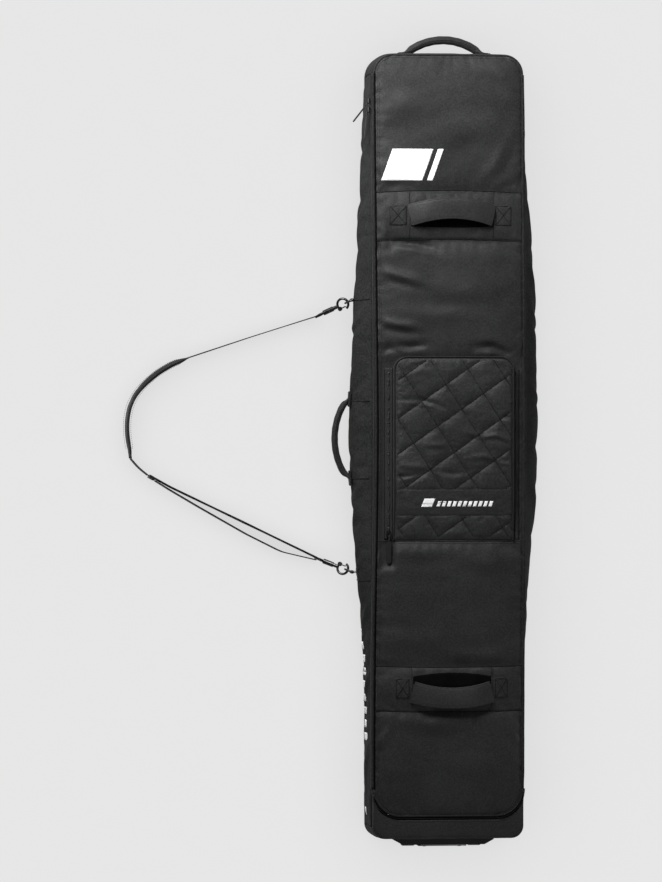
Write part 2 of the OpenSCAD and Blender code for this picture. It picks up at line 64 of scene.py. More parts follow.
def rough(x, y, seed=0):
    """Smooth noise from -1 to 1 with one knot a unit."""
    x, y = np.broadcast_arrays(np.asarray(x, float), np.asarray(y, float))
    xi, yi = np.floor(x).astype(np.int64), np.floor(y).astype(np.int64)

    def knot(a, b):
        n = (a * 374761393 + b * 668265263 + seed * 362437) & 0xFFFFFFFF
        n = ((n ^ (n >> 13)) * 1274126177) & 0xFFFFFFFF
        return ((n ^ (n >> 16)) & 0xFFFF) / 32767.5 - 1

    u, v = x - xi, y - yi
    u, v = u * u * (3 - 2 * u), v * v * (3 - 2 * v)
    low = knot(xi, yi) * (1 - u) + knot(xi + 1, yi) * u
    high = knot(xi, yi + 1) * (1 - u) + knot(xi + 1, yi + 1) * u
    return low * (1 - v) + high * v


def crease(x, y, points, width, depth, skew=0.0):
    """Height of a soft fold along a line of points. With skew it is a step, high on one side."""
    points = np.asarray(points, float)
    seg = np.linalg.norm(np.diff(points, axis=0), axis=1)
    start = travelled(points)
    best = np.full(np.shape(x), 1e9)
    side, along = np.zeros(np.shape(x)), np.zeros(np.shape(x))
    for i, length in enumerate(seg):
        d = (points[i + 1] - points[i]) / length
        rx, ry = x - points[i][0], y - points[i][1]
        t = np.clip(rx * d[0] + ry * d[1], 0, length)
        ox, oy = rx - t * d[0], ry - t * d[1]
        dist = np.hypot(ox, oy)
        near = dist < best
        best = np.where(near, dist, best)
        side = np.where(near, np.sign(d[0] * oy - d[1] * ox), side)
        along = np.where(near, start[i] + t, along)
    fade = np.sin(np.pi * np.clip(along / start[-1], 0.03, 0.97)) ** 0.8
    q = best / width
    g = np.exp(-q * q)
    return depth * fade * ((1 - abs(skew)) * g + skew * 2.33 * side * q * g)


def inside(x, y, half, y0, y1, r0, r1):
    """Distance in from the edge of a panel with corner radius r0 at its tail end and r1 at its nose end."""
    nose = y > (y0 + y1) / 2
    r = np.where(nose, r1, r0)
    dx = np.abs(x) - (half - r)
    dy = np.where(nose, y - (y1 - r), (y0 + r) - y)
    return r - np.hypot(np.maximum(dx, 0), np.maximum(dy, 0)) - np.minimum(np.maximum(dx, dy), 0)


def cols(*parts):
    """Numbers and arrays side by side, as one array of points."""
    return np.stack(np.broadcast_arrays(*parts), -1)


def net(u, v):
    """Two coordinates over a grid."""
    return np.meshgrid(u, v, indexing="ij")


def bell(x, reach):
    """1 at 0, falling to 0 over about twice reach either way."""
    return np.exp(-((x / reach) ** 2))


def travelled(path):
    """Distance along a line at each of its points."""
    return np.r_[0, np.cumsum(np.linalg.norm(np.diff(path, axis=0), axis=1))]


def edge_roll(d, reach):
    """From 0 at an edge to 1 at reach, as a quarter circle."""
    t = 1 - np.clip(d / reach, 0, 1)
    return np.sqrt(1 - t * t)


def end_rows(outline, n, n0=10, n1=8):
    """Places along a panel, with rows gathered round its corners."""
    y0, y1, r0, r1 = (outline[key] for key in ("y0", "y1", "r0", "r1"))
    tail = y0 + r0 - r0 * np.sin(np.linspace(math.pi / 2, 0, n0, endpoint=False))
    nose = y1 - r1 + r1 * np.sin(np.linspace(math.pi / 2, 0, n1, endpoint=False))[::-1]
    return np.concatenate([tail, np.linspace(y0 + r0, y1 - r1, n), nose])


def half_at(y, half, y0, y1, r0, r1):
    """Half width of such a panel at each place along it."""
    tail, nose = np.clip(y0 + r0 - y, 0, r0), np.clip(y - (y1 - r1), 0, r1)
    return half - r0 + np.sqrt(r0**2 - tail**2) - r1 + np.sqrt(r1**2 - nose**2)


# ---------------------------------------------------------------- meshes
def grid(p):
    """A sheet through an array of points, as vertices, faces and UVs in millimetres."""
    nu, nv = p.shape[:2]
    k = np.arange(nu * nv).reshape(nu, nv)
    faces = cols(k[:-1, :-1], k[1:, :-1], k[1:, 1:], k[:-1, 1:]).reshape(-1, 4)
    u = np.cumsum(np.r_[0, np.linalg.norm(np.diff(p, axis=0), axis=2).mean(1)])
    v = np.cumsum(np.r_[0, np.linalg.norm(np.diff(p, axis=1), axis=2).mean(0)])
    uv = np.stack(net(u, v), -1).reshape(-1, 2)
    return p.reshape(-1, 3), faces, uv


def normals(verts, faces):
    a, b, c, d = (verts[faces[:, i]] for i in range(4))
    n = np.cross(c - a, d - b)
    out = np.zeros_like(verts)
    for i in range(4):
        np.add.at(out, faces[:, i], n)
    return out / np.maximum(np.linalg.norm(out, axis=1, keepdims=True), 1e-9)


def thicken(shape, t):
    """A closed solid of thickness t under a sheet of quads."""
    verts, faces, uv = shape
    n = len(verts)
    low = verts - normals(verts, faces) * np.reshape(t, (-1, 1))
    pairs = np.concatenate([faces[:, [i, (i + 1) % 4]] for i in range(4)])
    known = set(map(tuple, pairs.tolist()))
    rim = [(a, b) for a, b in known if (b, a) not in known]
    rim = np.array(sorted(rim))
    side = cols(rim[:, 1], rim[:, 0], rim[:, 0] + n, rim[:, 1] + n)
    return np.vstack([verts, low]), np.vstack([faces, faces[:, ::-1] + n, side]), np.vstack([uv, uv])


def used(shape):
    """The sheet without the points that no face uses."""
    verts, faces, uv = shape
    keep = np.unique(faces)
    new = np.full(len(verts), -1)
    new[keep] = np.arange(len(keep))
    return verts[keep], new[faces], uv[keep]


def unit(v):
    v = np.asarray(v, float)
    return v / np.maximum(np.linalg.norm(v, axis=-1, keepdims=True), 1e-9)


def sweep(path, across, section, scale=1.0):
    """A solid drawn along a path. across is the way that the section's first axis points."""
    path, section = np.asarray(path, float), np.asarray(section, float)
    n, m = len(path), len(section)
    tangent = unit(np.gradient(path, axis=0))
    a = np.broadcast_to(np.asarray(across, float), path.shape)
    a = unit(a - (a * tangent).sum(1, keepdims=True) * tangent)
    b = np.cross(tangent, a)
    s = np.broadcast_to(np.asarray(scale, float).T if np.ndim(scale) == 2 else scale, (2, n))
    ring = (
        path[:, None]
        + a[:, None] * (section[None, :, :1] * s[0][:, None, None])
        + b[:, None] * (section[None, :, 1:] * s[1][:, None, None])
    )
    k = np.arange(n * m).reshape(n, m)
    nxt = np.roll(k, -1, 1)
    faces = cols(k[:-1], nxt[:-1], nxt[1:], k[1:]).reshape(-1, 4).tolist()
    faces += [k[0][::-1].tolist(), k[-1].tolist()]
    c = travelled(section)
    total = c[-1] + np.linalg.norm(section[0] - section[-1])
    uv = cols(np.minimum(c, total - c)[None, :], travelled(path)[:, None]).reshape(-1, 2)
    return ring.reshape(-1, 3), faces, uv


def circle(r, n=12, ry=None):
    a = np.linspace(0, 2 * np.pi, n, endpoint=False)
    return cols(r * np.cos(a), (ry or r) * np.sin(a))


def cord(line, r, n=8):
    """A round cord along a line."""
    return sweep(line, UP, circle(r, n))


def flat(w, t, n=7, cup=0.0):
    """Section of a strap with rounded edges."""
    x = np.linspace(-1, 1, n)
    lift = cup * (1 - x * x)
    top = cols(x * (w / 2 - t / 2), t / 2 + lift)
    low = cols(x[::-1] * (w / 2 - t / 2), lift - t / 2)
    tip = np.array([[w / 2 - t * 0.12, t * 0.3], [w / 2, 0], [w / 2 - t * 0.12, -t * 0.3]])
    return np.vstack([top, tip, low, tip[::-1] * [-1, 1]])[::-1]


def join(shapes):
    """Several shapes as one."""
    verts, faces, uvs, n = [], [], [], 0
    for v, f, uv in shapes:
        verts.append(v)
        faces += [[int(i) + n for i in q] for q in f]
        uvs.append(uv)
        n += len(v)
    return np.vstack(verts), faces, np.vstack(uvs)


def points_at(path, at):
    """Points of a line at given distances along it."""
    s = travelled(path)
    return np.stack([np.interp(at, s, path[:, i]) for i in range(path.shape[1])], 1)


def resample(path, step):
    """The same line with points step apart."""
    path = np.asarray(path, float)
    length = travelled(path)[-1]
    return points_at(path, np.linspace(0, length, max(2, int(round(length / step)) + 1)))


def rounded(path, step, passes=4):
    """A line through points with its corners eased."""
    p = resample(path, step)
    for _ in range(passes):
        p[1:-1] = (p[:-2] + 2 * p[1:-1] + p[2:]) / 4
    return p


SLOT_OF = {"coil": "zip_tape", "wall_fabric": "shell_fabric",
           **dict.fromkeys(("thread", "handle_fabric", "grab_fabric", "facing"), "trim_fabric"),
           **dict.fromkeys(("black_and_painted_shade", "painted_highlight"), "moulded_plastic")}
LOOKS = {}


def piece(name, shape, look, body=None, replaces=(), subsurf=0):
    """One visual piece that rides on a body and stands for CAD nodes."""
    verts, faces, uv = shape
    mesh = bpy.data.meshes.new(name)
    mesh.from_pydata((np.asarray(verts) * MM).tolist(), [], [[int(i) for i in f] for f in faces])
    corner = np.zeros(len(mesh.loops), int)
    mesh.loops.foreach_get("vertex_index", corner)
    mesh.uv_layers.new(name="UVMap").data.foreach_set("uv", (np.asarray(uv)[corner] * MM).ravel())
    mesh.polygons.foreach_set("use_smooth", [True] * len(mesh.polygons))
    mesh.materials.append(LOOKS[look])
    obj = bpy.data.objects.new(name, mesh)
    scene.collection.objects.link(obj)
    if subsurf:
        modifier = obj.modifiers.new("round", "SUBSURF")
        modifier.levels = modifier.render_levels = subsurf
    if body:
        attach(obj, body)
    if replaces:
        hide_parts(*replaces)
    return obj


def blended(obj):
    """Bakes a piece's place into its mesh."""
    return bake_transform(obj)


class Surface:
    """Heights of a sheet, seen from above."""

    def __init__(self, shape, miss=149.0):
        verts, faces, _ = shape
        self.tree = BVHTree.FromPolygons(verts.tolist(), [list(map(int, f)) for f in faces])
        self.miss = miss

    def z(self, x, y):
        x, y = np.broadcast_arrays(np.asarray(x, float), np.asarray(y, float))
        out = np.full(x.size, self.miss)
        for i, (a, b) in enumerate(zip(x.ravel(), y.ravel())):
            hit = self.tree.ray_cast(Vector((a, b, 400)), Vector((0, 0, -1)))[0]
            if hit is not None:
                out[i] = hit.z
        return out.reshape(x.shape)


def on(surface, path, lift):
    """A flat line laid on a surface."""
    path = np.asarray(path, float)
    return np.c_[path[:, :2], surface.z(path[:, 0], path[:, 1]) + lift]


def puff(shape, pinned, pressure, growth, cap, frames=16, bend=0.5):
    """Inflates a pinned sheet by cloth simulation. No point moves further than cap."""
    verts, faces, uv = shape
    mesh = bpy.data.meshes.new("sim")
    mesh.from_pydata((verts * MM).tolist(), [], faces.tolist())
    obj = bpy.data.objects.new("sim", mesh)
    scene.collection.objects.link(obj)
    group = obj.vertex_groups.new(name="pin")
    group.add(np.flatnonzero(pinned).tolist(), 1.0, "REPLACE")
    modifier = obj.modifiers.new("cloth", "CLOTH")
    cloth = modifier.settings
    cloth.quality = 6
    cloth.mass = 0.15
    cloth.tension_stiffness = cloth.compression_stiffness = 12
    cloth.shear_stiffness = 4
    cloth.bending_stiffness = bend
    cloth.air_damping = 2
    cloth.vertex_group_mass = "pin"
    cloth.pin_stiffness = 10
    cloth.use_pressure = True
    cloth.uniform_pressure_force = pressure
    cloth.shrink_min = -growth
    cloth.effector_weights.gravity = 0
    modifier.collision_settings.use_collision = False
    for f in range(1, frames + 1):
        scene.frame_set(f)
    done = obj.evaluated_get(bpy.context.evaluated_depsgraph_get()).data
    co = np.zeros(len(verts) * 3)
    done.vertices.foreach_get("co", co)
    bpy.data.objects.remove(obj)
    scene.frame_set(1)
    move = co.reshape(-1, 3) / MM - verts
    far = np.maximum(np.linalg.norm(move, axis=1, keepdims=True), 1e-6)
    return verts + move * cap * np.tanh(far / cap) / far, faces, uv


STITCHES = {}


def stitch(body, path, pitch=4.2, length=2.8, r=0.42):
    """A row of stitches along a line, kept until all of that body's rows are made."""
    path = np.asarray(path, float)
    run = travelled(path)[-1]
    count = int(run / pitch)
    if count < 1:
        return
    at = (np.arange(count) + 0.5) * run / count
    mid, ahead, back = (points_at(path, at + d) for d in (0, 0.6, -0.6))
    t = unit(ahead - back)
    side = unit(np.cross(t, np.where(np.abs(t[:, 2:]) > 0.9, [[1.0, 0, 0]], [[0, 0, 1.0]])))
    top = np.cross(side, t)
    rows = []
    for along, width in ((-0.5, 0.25), (-0.3, 1), (0.3, 1), (0.5, 0.25)):
        for c, d in ((1, 0), (0, 1), (-1, 0), (0, -1)):
            rows.append(mid + t * along * length + (side * c + top * d) * r * width)
    verts = np.stack(rows, 1)
    quad = []
    for a in (0, 4, 8):
        quad += [(a + i, a + (i + 1) % 4, a + 4 + (i + 1) % 4, a + 4 + i) for i in range(4)]
    quad += [(3, 2, 1, 0), (12, 13, 14, 15)]
    STITCHES.setdefault(body, []).append((verts, quad))


def sew(name, body):
    """One piece of all the stitches that are kept for a body."""
    verts, faces, n = [], [], 0
    for block, quad in STITCHES.pop(body, []):
        count = len(block)
        verts.append(block.reshape(-1, 3))
        base = (np.arange(count) * 16 + n)[:, None, None]
        faces.append((np.array(quad)[None] + base).reshape(-1, 4))
        n += count * 16
    verts = np.vstack(verts)
    return piece(name, (verts, np.vstack(faces), verts[:, :2]), "thread", body)


# ---------------------------------------------------------------- materials
class Nodes:
    """A node tree that is written from left to right."""

    def __init__(self, name):
        self.material = LOOKS[name] = bpy.data.materials.new(name)
        self.material.use_nodes = True
        self.tree = self.material.node_tree
        self.tree.nodes.clear()
        self.bsdf = self.add("BsdfPrincipled")
        out = self.add("OutputMaterial")
        self.link(self.bsdf.outputs[0], out.inputs[0])
        where = self.add("TexCoord")
        self.uv, self.place = where.outputs["UV"], where.outputs["Object"]

    def add(self, kind, **settings):
        node = self.tree.nodes.new("ShaderNode" + kind)
        for key, value in settings.items():
            setattr(node, key, value)
        return node

    def link(self, a, b):
        self.tree.links.new(a, b)

    def put(self, socket, value):
        if isinstance(value, bpy.types.NodeSocket):
            self.link(value, socket)
        else:
            socket.default_value = value

    def noise(self, scale, detail, distortion=0.0):
        node = self.add("TexNoise")
        self.link(self.place, node.inputs["Vector"])
        node.inputs["Scale"].default_value = scale
        node.inputs["Detail"].default_value = detail
        node.inputs["Distortion"].default_value = distortion
        return node.outputs["Fac"]

    def bands(self, period_mm, axis):
        node = self.add("TexWave", wave_type="BANDS", bands_direction=axis, wave_profile="SIN")
        self.link(self.uv, node.inputs["Vector"])
        node.inputs["Scale"].default_value = 0.31416 / (period_mm * MM)
        return node.outputs["Fac"]

    def math(self, how, a, b):
        node = self.add("Math", operation=how)
        for socket, value in zip(node.inputs, (a, b, 0.0)):
            self.put(socket, value)
        return node.outputs[0]

    def span(self, value, low, high, start=0.3, stop=0.7):
        node = self.add("MapRange")
        for key, x in zip(("Value", "From Min", "From Max", "To Min", "To Max"), (value, start, stop, low, high)):
            self.put(node.inputs[key], x)
        return node.outputs[0]

    def mix(self, factor, a, b):
        node = self.add("Mix", data_type="RGBA")
        self.put(node.inputs["Factor"], factor)
        for socket, colour in ((node.inputs[6], a), (node.inputs[7], b)):
            self.put(socket, (*colour, 1.0) if isinstance(colour, tuple) else colour)
        return node.outputs[2]

    def bump(self, height, depth_mm, strength, under=None):
        node = self.add("Bump")
        node.inputs["Strength"].default_value = strength
        node.inputs["Distance"].default_value = depth_mm * MM
        self.put(node.inputs["Height"], height)
        if under is not None:
            self.link(under, node.inputs["Normal"])
        return node.outputs[0]

    def finish(self, colour, roughness, normal=None, **uniform):
        self.put(self.bsdf.inputs["Base Color"], colour)
        self.put(self.bsdf.inputs["Roughness"], roughness)
        if normal is not None:
            self.link(normal, self.bsdf.inputs["Normal"])
        for key, value in uniform.items():
            self.bsdf.inputs[key.replace("_", " ")].default_value = value


def grey(value, warm=0.0):
    """A grey, redder with warm above 0 and bluer below."""
    return (value * (1 + warm), value, value * (1 - warm))


def woven(name, low, high, warm=0.0, period=0.9, depth=0.12, crinkle=0.5, gloss=(0.50, 0.68), sheen=0.05, shine=0.25):
    """Plain-woven polyester: a fine weave, a soft crinkle, and threads that vary a little."""
    m = Nodes(name)
    warp, weft = m.bands(period, "X"), m.bands(period, "Y")
    weave = m.math("MAXIMUM", warp, weft)
    threads = m.noise(300, 4)
    patches = m.noise(9, 3)
    tone = m.math("ADD", m.math("MULTIPLY", threads, 0.7), m.math("MULTIPLY", patches, 0.3))
    colour = m.mix(m.span(tone, 0, 1, 0.40, 0.60), grey(low, warm), grey(high, warm))
    wear = m.span(m.noise(26, 5), gloss[0], gloss[1])
    soft = m.bump(m.noise(75, 4, distortion=0.6), crinkle, 0.6)
    fine = m.bump(m.noise(260, 4), depth * 3.2, 0.8, soft)
    normal = m.bump(weave, depth, 0.6, fine)
    m.finish(colour, wear, normal, Sheen_Weight=sheen, Sheen_Roughness=0.5, Specular_IOR_Level=shine)


def ribbed(name, low, high, along=2.1, across=1.3, gloss=(0.6, 0.78), shine=0.2):
    """Webbing: ribs across the strap, and a chevron of finer threads."""
    m = Nodes(name)
    rib = m.bands(along, "Y")
    cord = m.bands(across, "X")
    height = m.math("ADD", m.math("MULTIPLY", rib, 0.7), m.math("MULTIPLY", cord, 0.3))
    colour = m.mix(m.math("MULTIPLY", height, m.span(m.noise(300, 3), 0.5, 1)), grey(low), grey(high))
    normal = m.bump(height, 0.35, 0.6, m.bump(m.noise(40, 3), 0.6, 0.4))
    m.finish(colour, m.span(m.noise(60, 4), *gloss), normal, Sheen_Weight=0.04, Specular_IOR_Level=shine)


def grained(name, low, high, gloss, grain=1400, depth=0.06, scuff=0.35, metallic=0.0, shine=0.3, **uniform):
    """Moulded plastic, rubber or metal: fine grain and light scuffs."""
    m = Nodes(name)
    marks = m.noise(90, 6, distortion=1.5)
    worn = m.math("ADD", m.math("MULTIPLY", m.noise(14, 3), 1 - scuff), m.math("MULTIPLY", marks, scuff))
    colour = m.mix(m.span(worn, 0, 1, 0.4, 0.62), grey(low), grey(high))
    normal = m.bump(m.noise(grain, 2), depth, 0.6, m.bump(marks, depth, 0.25))
    m.finish(colour, m.span(marks, *gloss), normal, Metallic=metallic, Specular_IOR_Level=shine, **uniform)


woven("shell_fabric", 0.0070, 0.0170, -0.012)
woven("wall_fabric", 0.011, 0.024, -0.012, gloss=(0.75, 0.88), sheen=0.0, shine=0.06)
woven("quilted_fabric", 0.008, 0.019, -0.02, period=1.0, depth=0.16, crinkle=0.7)
woven("trim_fabric", 0.004, 0.009, period=0.8, crinkle=0.35, gloss=(0.6, 0.75), shine=0.2)
woven("handle_fabric", 0.006, 0.012, period=1.4, depth=0.3, crinkle=0.5, gloss=(0.6, 0.75))
woven("grab_fabric", 0.008, 0.017, period=1.0, crinkle=0.5)
# The kick bar's near-black, darker than the other plastics: its own black together with painted shade under the bag's
# bottom edge.
grained("black_and_painted_shade", 0.0010, 0.0018, (0.75, 0.9), grain=900, shine=0.1)
# Pale grey that stands for a painted highlight: the light line along the top of the kick bar.
grained("painted_highlight", 0.35, 0.45, (0.5, 0.6), shine=0.2)
# Near-black matt cloth that stands for painted shade: the shadow under the grab straps, the shadow line along the
# lid's left edge and the shade in the gap round the lid's tail.
woven("facing", 0.0012, 0.0022, period=1.4, crinkle=0.3, gloss=(0.9, 0.97), sheen=0.0, shine=0.05)
ribbed("webbing", 0.003, 0.009)
ribbed("zip_tape", 0.011, 0.020, along=0.9, across=0.9)
grained("coil", 0.005, 0.010, (0.4, 0.55))
ribbed("thread", 0.003, 0.008, along=0.7, across=0.7, shine=0.12)
woven("lining", 0.055, 0.085, period=0.7, crinkle=0.8, gloss=(0.5, 0.65))
grained("foam", 0.05, 0.08, (0.85, 0.95), grain=500, depth=0.3)
grained("board", 0.6, 0.7, (0.4, 0.55))
grained("dark_metal", 0.03, 0.06, (0.30, 0.45), grain=2200, depth=0.02, metallic=1.0)
grained("moulded_plastic", 0.006, 0.012, (0.42, 0.6))
grained("tyre", 0.010, 0.020, (0.55, 0.75), grain=700, depth=0.12)
grained("steel", 0.42, 0.58, (0.22, 0.38), grain=2600, depth=0.02, metallic=1.0)
woven("print", 0.70, 0.80, period=0.9, depth=0.06, crinkle=0.3, sheen=0.0)

# ---------------------------------------------------------------- camera, floor and light
VIEW_TILT = math.radians(7.3)
VIEW_DISTANCE, VIEW_HEIGHT = 12.0, 1.883
target = Vector((-0.2534, 0.0117, 0.150))
back = Vector((-math.sin(VIEW_TILT), 0, math.cos(VIEW_TILT)))
camera_data = bpy.data.cameras.new("camera")
camera_data.sensor_fit = "VERTICAL"
camera_data.sensor_height = 36
camera_data.lens = 36 * VIEW_DISTANCE / VIEW_HEIGHT
camera_data.clip_end = 60
camera = bpy.data.objects.new("camera", camera_data)
right = Vector((0, 1, 0)).cross(back)
turn = Matrix((right, Vector((0, 1, 0)), back)).transposed().to_4x4()
camera.matrix_world = Matrix.Translation(target + back * VIEW_DISTANCE) @ turn
scene.collection.objects.link(camera)
scene.camera = camera
scene.view_settings.view_transform = "Standard"

floor_xy = np.linspace(-9000, 9000, 9)
floor_shape = grid(cols(*net(floor_xy, floor_xy), -0.6))
grained("floor", 0.160, 0.163, (0.9, 0.97), grain=60, depth=0.05, scuff=0.2, shine=0.0,
        Emission_Color=(1, 1, 1, 1), Emission_Strength=0.64)
floor_obj = piece("floor", floor_shape, "floor")

world = bpy.data.worlds.new("studio")
world.use_nodes = True
world.node_tree.nodes["Background"].inputs[0].default_value = (1, 1, 1, 1)
world.node_tree.nodes["Background"].inputs[1].default_value = 0.10
scene.world = world


def lamp(name, kind, place, aim, energy, size=1.0, size_y=None, angle=0.0, floor_only=False):
    """A lamp for the bag alone, or for the floor alone, so that the floor stays even."""
    data = bpy.data.lights.new(name, kind)
    data.energy = energy
    if kind == "AREA":
        data.shape = "RECTANGLE"
        data.size, data.size_y = size, size_y or size
    else:
        data.angle = angle
    obj = bpy.data.objects.new(name, data)
    obj.location = place
    obj.rotation_euler = (Vector(aim) - Vector(place)).to_track_quat("-Z", "Y").to_euler()
    scene.collection.objects.link(obj)
    group = bpy.data.collections.new(f"lit_by_{name}")
    group.objects.link(floor_obj)
    group.collection_objects[0].light_linking.link_state = "INCLUDE" if floor_only else "EXCLUDE"
    obj.light_linking.receiver_collection = group


lamp("floor_sky", "SUN", (-1, 1, 6), (0, 0, 0), 2.8, angle=math.radians(110), floor_only=True)
lamp("key", "AREA", (-0.85, 1.60, 1.20), (0.0, 0.4, 0.15), 85, size=1.0, size_y=0.8)
lamp("fill", "AREA", (0.9, -2.4, 2.4), (0.0, -0.5, 0.1), 22, size=2.4, size_y=2.0)
lamp("side_fill", "AREA", (2.6, 0.1, 0.55), (0.1, 0, 0.08), 14, size=1.6, size_y=0.6)

# ---------------------------------------------------------------- sizes of the bag
HALF_W, HALF_L = 162.5, 840.0
NOSE_R, TAIL_R, BULGE, BULGE_Y, BULGE_REACH = 42.0, 25.0, 42.0, 57.0, 683.0
NOSE_TAPER, TAPER_SHARE = 741.0, 0.65  # towards the nose the bulge runs out more straightly
BAND_Z, BACK_Z, WALL_TOP, BASE_TOP, BASE_HALF = 124.0, 3.0, 147.4, 84.0, 110.0
RING_X, SIDE_Z, SIDE_GRIP_Y = -197.0, 62.0, 17.0  # the strap's rings and the side handle
ANCHOR_YS, TIE_YS = (315.0, -270.0), (-350.0, 350.0)
PATCH_SEAM_YS = (316, 97, -68, -286)
BASE_Y1 = -HALF_L + 73  # the wheel base's nose end
EDGE_R = 9.0  # rounding between the walls and the back
LID = dict(half=163.0, y0=-793.5, y1=840.5, r0=60.0, r1=42.5)
GUSSET_Y0, GUSSET_Y1 = -HALF_L + TAIL_R, HALF_L - NOSE_R
ZIP_Y0, ZIP_Y1, ZIP_Z = -733.0, 746.0, 130.5
LEAN_LEFT, LEAN_RIGHT = 7.0, 4.0  # how far the front edges follow the bulge


def half_wave(t):
    """1 at 0, falling smoothly to 0 at 1 either way."""
    return np.cos(np.clip(t, -1, 1) * np.pi / 2) ** 2


def bump(y):
    """Share of the full bulge at a place along the bag."""
    t = (np.asarray(y, float) - BULGE_Y) / NOSE_TAPER
    nose = TAPER_SHARE * np.maximum(0, 1 - t) + (1 - TAPER_SHARE) * half_wave(t)
    return np.where(t < 0, half_wave(t * NOSE_TAPER / BULGE_REACH), nose)


def edge_shift(share, y):
    """How far the lid's edges move towards +X where the walls bulge. share is -1 at the left edge, 1 at the right."""
    mid, slope = (LEAN_LEFT + LEAN_RIGHT) / 2, (LEAN_RIGHT - LEAN_LEFT) / 2
    return bump(y) * (mid + slope * share)


def panel_net(share, rows, outline, shifted=False, x0=0.0):
    """Shares across, places along, and for each X and the distance in from the panel's edge."""
    S, Y = net(share, rows)
    shift = edge_shift(S, Y) if shifted else x0
    X = S * half_at(Y, **outline) + shift
    return S, X, Y, inside(X - shift, Y, **outline)


def without(shape, test):
    """The sheet without the faces whose centres pass a test."""
    verts, faces, uv = shape
    return used((verts, faces[~test(verts[faces].mean(1))], uv))


# ---------------------------------------------------------------- the lid
PANEL_X, UPPER_PANEL, LOWER_PANEL = (-156, 159), (439.5, 542.5), (-564.0, -470.0)
POCKET = dict(half=130.5, y0=-201.0, y1=193.0, r0=6.0, r1=28.0)
POCKET_X, POCKET_H, ZIP_BED_Z = 10.5, 12.0, 149.9
BAND_Y = (-148.0, -92.0)
SEAM_Y = -201.0

share = np.linspace(-1, 1, 51)
share = share * (1.32 - 0.32 * share**2)
rows = end_rows(LID, 206)
_, X, Y, D = panel_net(share, rows, LID, shifted=True)
POCKET_D = inside(X - POCKET_X, Y, **POCKET)


def seam_gap(y):
    """Distance to the nearest seam that crosses the lid."""
    seams = [*UPPER_PANEL, *LOWER_PANEL, SEAM_Y]
    return np.min([np.abs(y - s) for s in seams], axis=0)


LID_FOLDS, POCKET_FOLDS = 1.7, 1.8  # what the depths in the lists of creases are multiplied by
CREASES = [
    # points, width, depth, skew
    ([(-124, 433), (-80, 429), (-25, 417)], 8, -7.5, 0.5),
    ([(-147, 371), (-100, 356), (-52, 342)], 10, 6.0, 0.6),
    ([(-150, 262), (-104, 254), (-60, 249)], 9, 6.0, 0.65),
    ([(-118, 213), (-85, 211), (-42, 216)], 7, -8.5, 0.35),
    ([(-158, 104), (-150, 106), (-141, 103)], 4, -3.6, 0.3),
    ([(-158, 90), (-150, 88), (-141, 90)], 4, 3.0, 0.3),
    ([(-156, 47), (-149, 44), (-141, 46)], 5, -3.0, 0.3),
    ([(-157, -50), (-150, -53), (-141, -50)], 5, 3.2, 0.3),
    ([(-158, -76), (-150, -79), (-141, -78)], 4, -3.6, 0.3),
    ([(-140, 203), (-126, 210), (-112, 206)], 5, -5.5, 0.3),
    ([(50, 209), (92, 212), (131, 196)], 7, -10.0, 0.35),
    ([(70, 560), (110, 600), (135, 660)], 16, 2.6, 0.6),
    ([(60, 810), (105, 790), (140, 752)], 18, 3.0, 0.5),
    ([(-150, 700), (-90, 716), (-20, 706)], 26, 2.4, 0.5),
    ([(-40, 655), (40, 668), (120, 655)], 30, 2.6, 0.5),
    ([(-150, 545), (-110, 556), (-60, 552)], 9, -2.4, 0.4),
    ([(-130, 424), (-138, 446), (-128, 470)], 7, 2.8, 0.5),
    ([(-60, 330), (30, 318), (120, 330)], 24, 2.4, 0.6),
    ([(-120, 300), (-20, 290), (60, 300)], 20, 2.2, -0.6),
    ([(-140, -228), (-60, -236), (40, -228)], 20, 2.0, 0.6),
    ([(20, -250), (90, -262), (150, -250)], 20, 2.0, 0.6),
    ([(-150, -420), (-80, -432), (10, -424)], 26, 2.0, 0.6),
    ([(-20, -452), (70, -458), (140, -446)], 16, 2.4, 0.5),
    ([(-120, -590), (-40, -606), (60, -600)], 20, 2.6, 0.6),
    ([(-150, -650), (-130, -620), (-118, -580)], 12, 2.2, 0.5),
    ([(150, -640), (134, -610), (126, -578)], 12, 2.2, -0.5),
    ([(-40, -690), (50, -700), (130, -686)], 30, 2.2, 0.5),
]

crown = 4.0 * ramp(0, 90, D)
Z = 148.7 + 2.4 * edge_roll(D, 6) + crown * (1 - 0.55 * ramp(-20, 12, POCKET_D))
seams = bell(seam_gap(Y), 5) * ramp(0, 20, D)
Z -= 1.6 * seams
pinned = (D < 0.5) | (seam_gap(Y) < 4.5) | (POCKET_D > 4)
pinned |= (Y < POCKET["y1"]) & (Y > SEAM_Y) & ((X < -126) | (X > 141)) & (np.abs(X) < 153)
lid_shape = puff(grid(cols(X, Y, Z)), pinned.ravel(), 5.0, 0.012, 6.0, bend=0.8)
lid_p = lid_shape[0].reshape(*X.shape, 3).copy()
soft = ramp(3, 26, D) * (1 - ramp(-3, 6, POCKET_D))
for points, width, depth, skew in CREASES:
    lid_p[..., 2] += soft * crease(X, Y, points, width, depth * LID_FOLDS, skew)
uneven = 1.6 * rough(X / 110, Y / 75, 3) + 0.75 * rough(X / 36, Y / 24, 5) + 0.22 * rough(X / 13, Y / 9, 7)
lid_p[..., 2] += soft * uneven
pucker = rough(Y / 9, X / 40, 11) * bell(D - 9, 9) * (D > 1)
lid_p[..., 2] += 0.7 * pucker
pocket_side = (bell(X + 140, 9) + 0.7 * bell(X - 152, 8)) * ((Y > -200) & (Y < 195))
lid_p[..., 2] += 1.9 * pocket_side * rough(Y / 17, 0 * Y, 17)
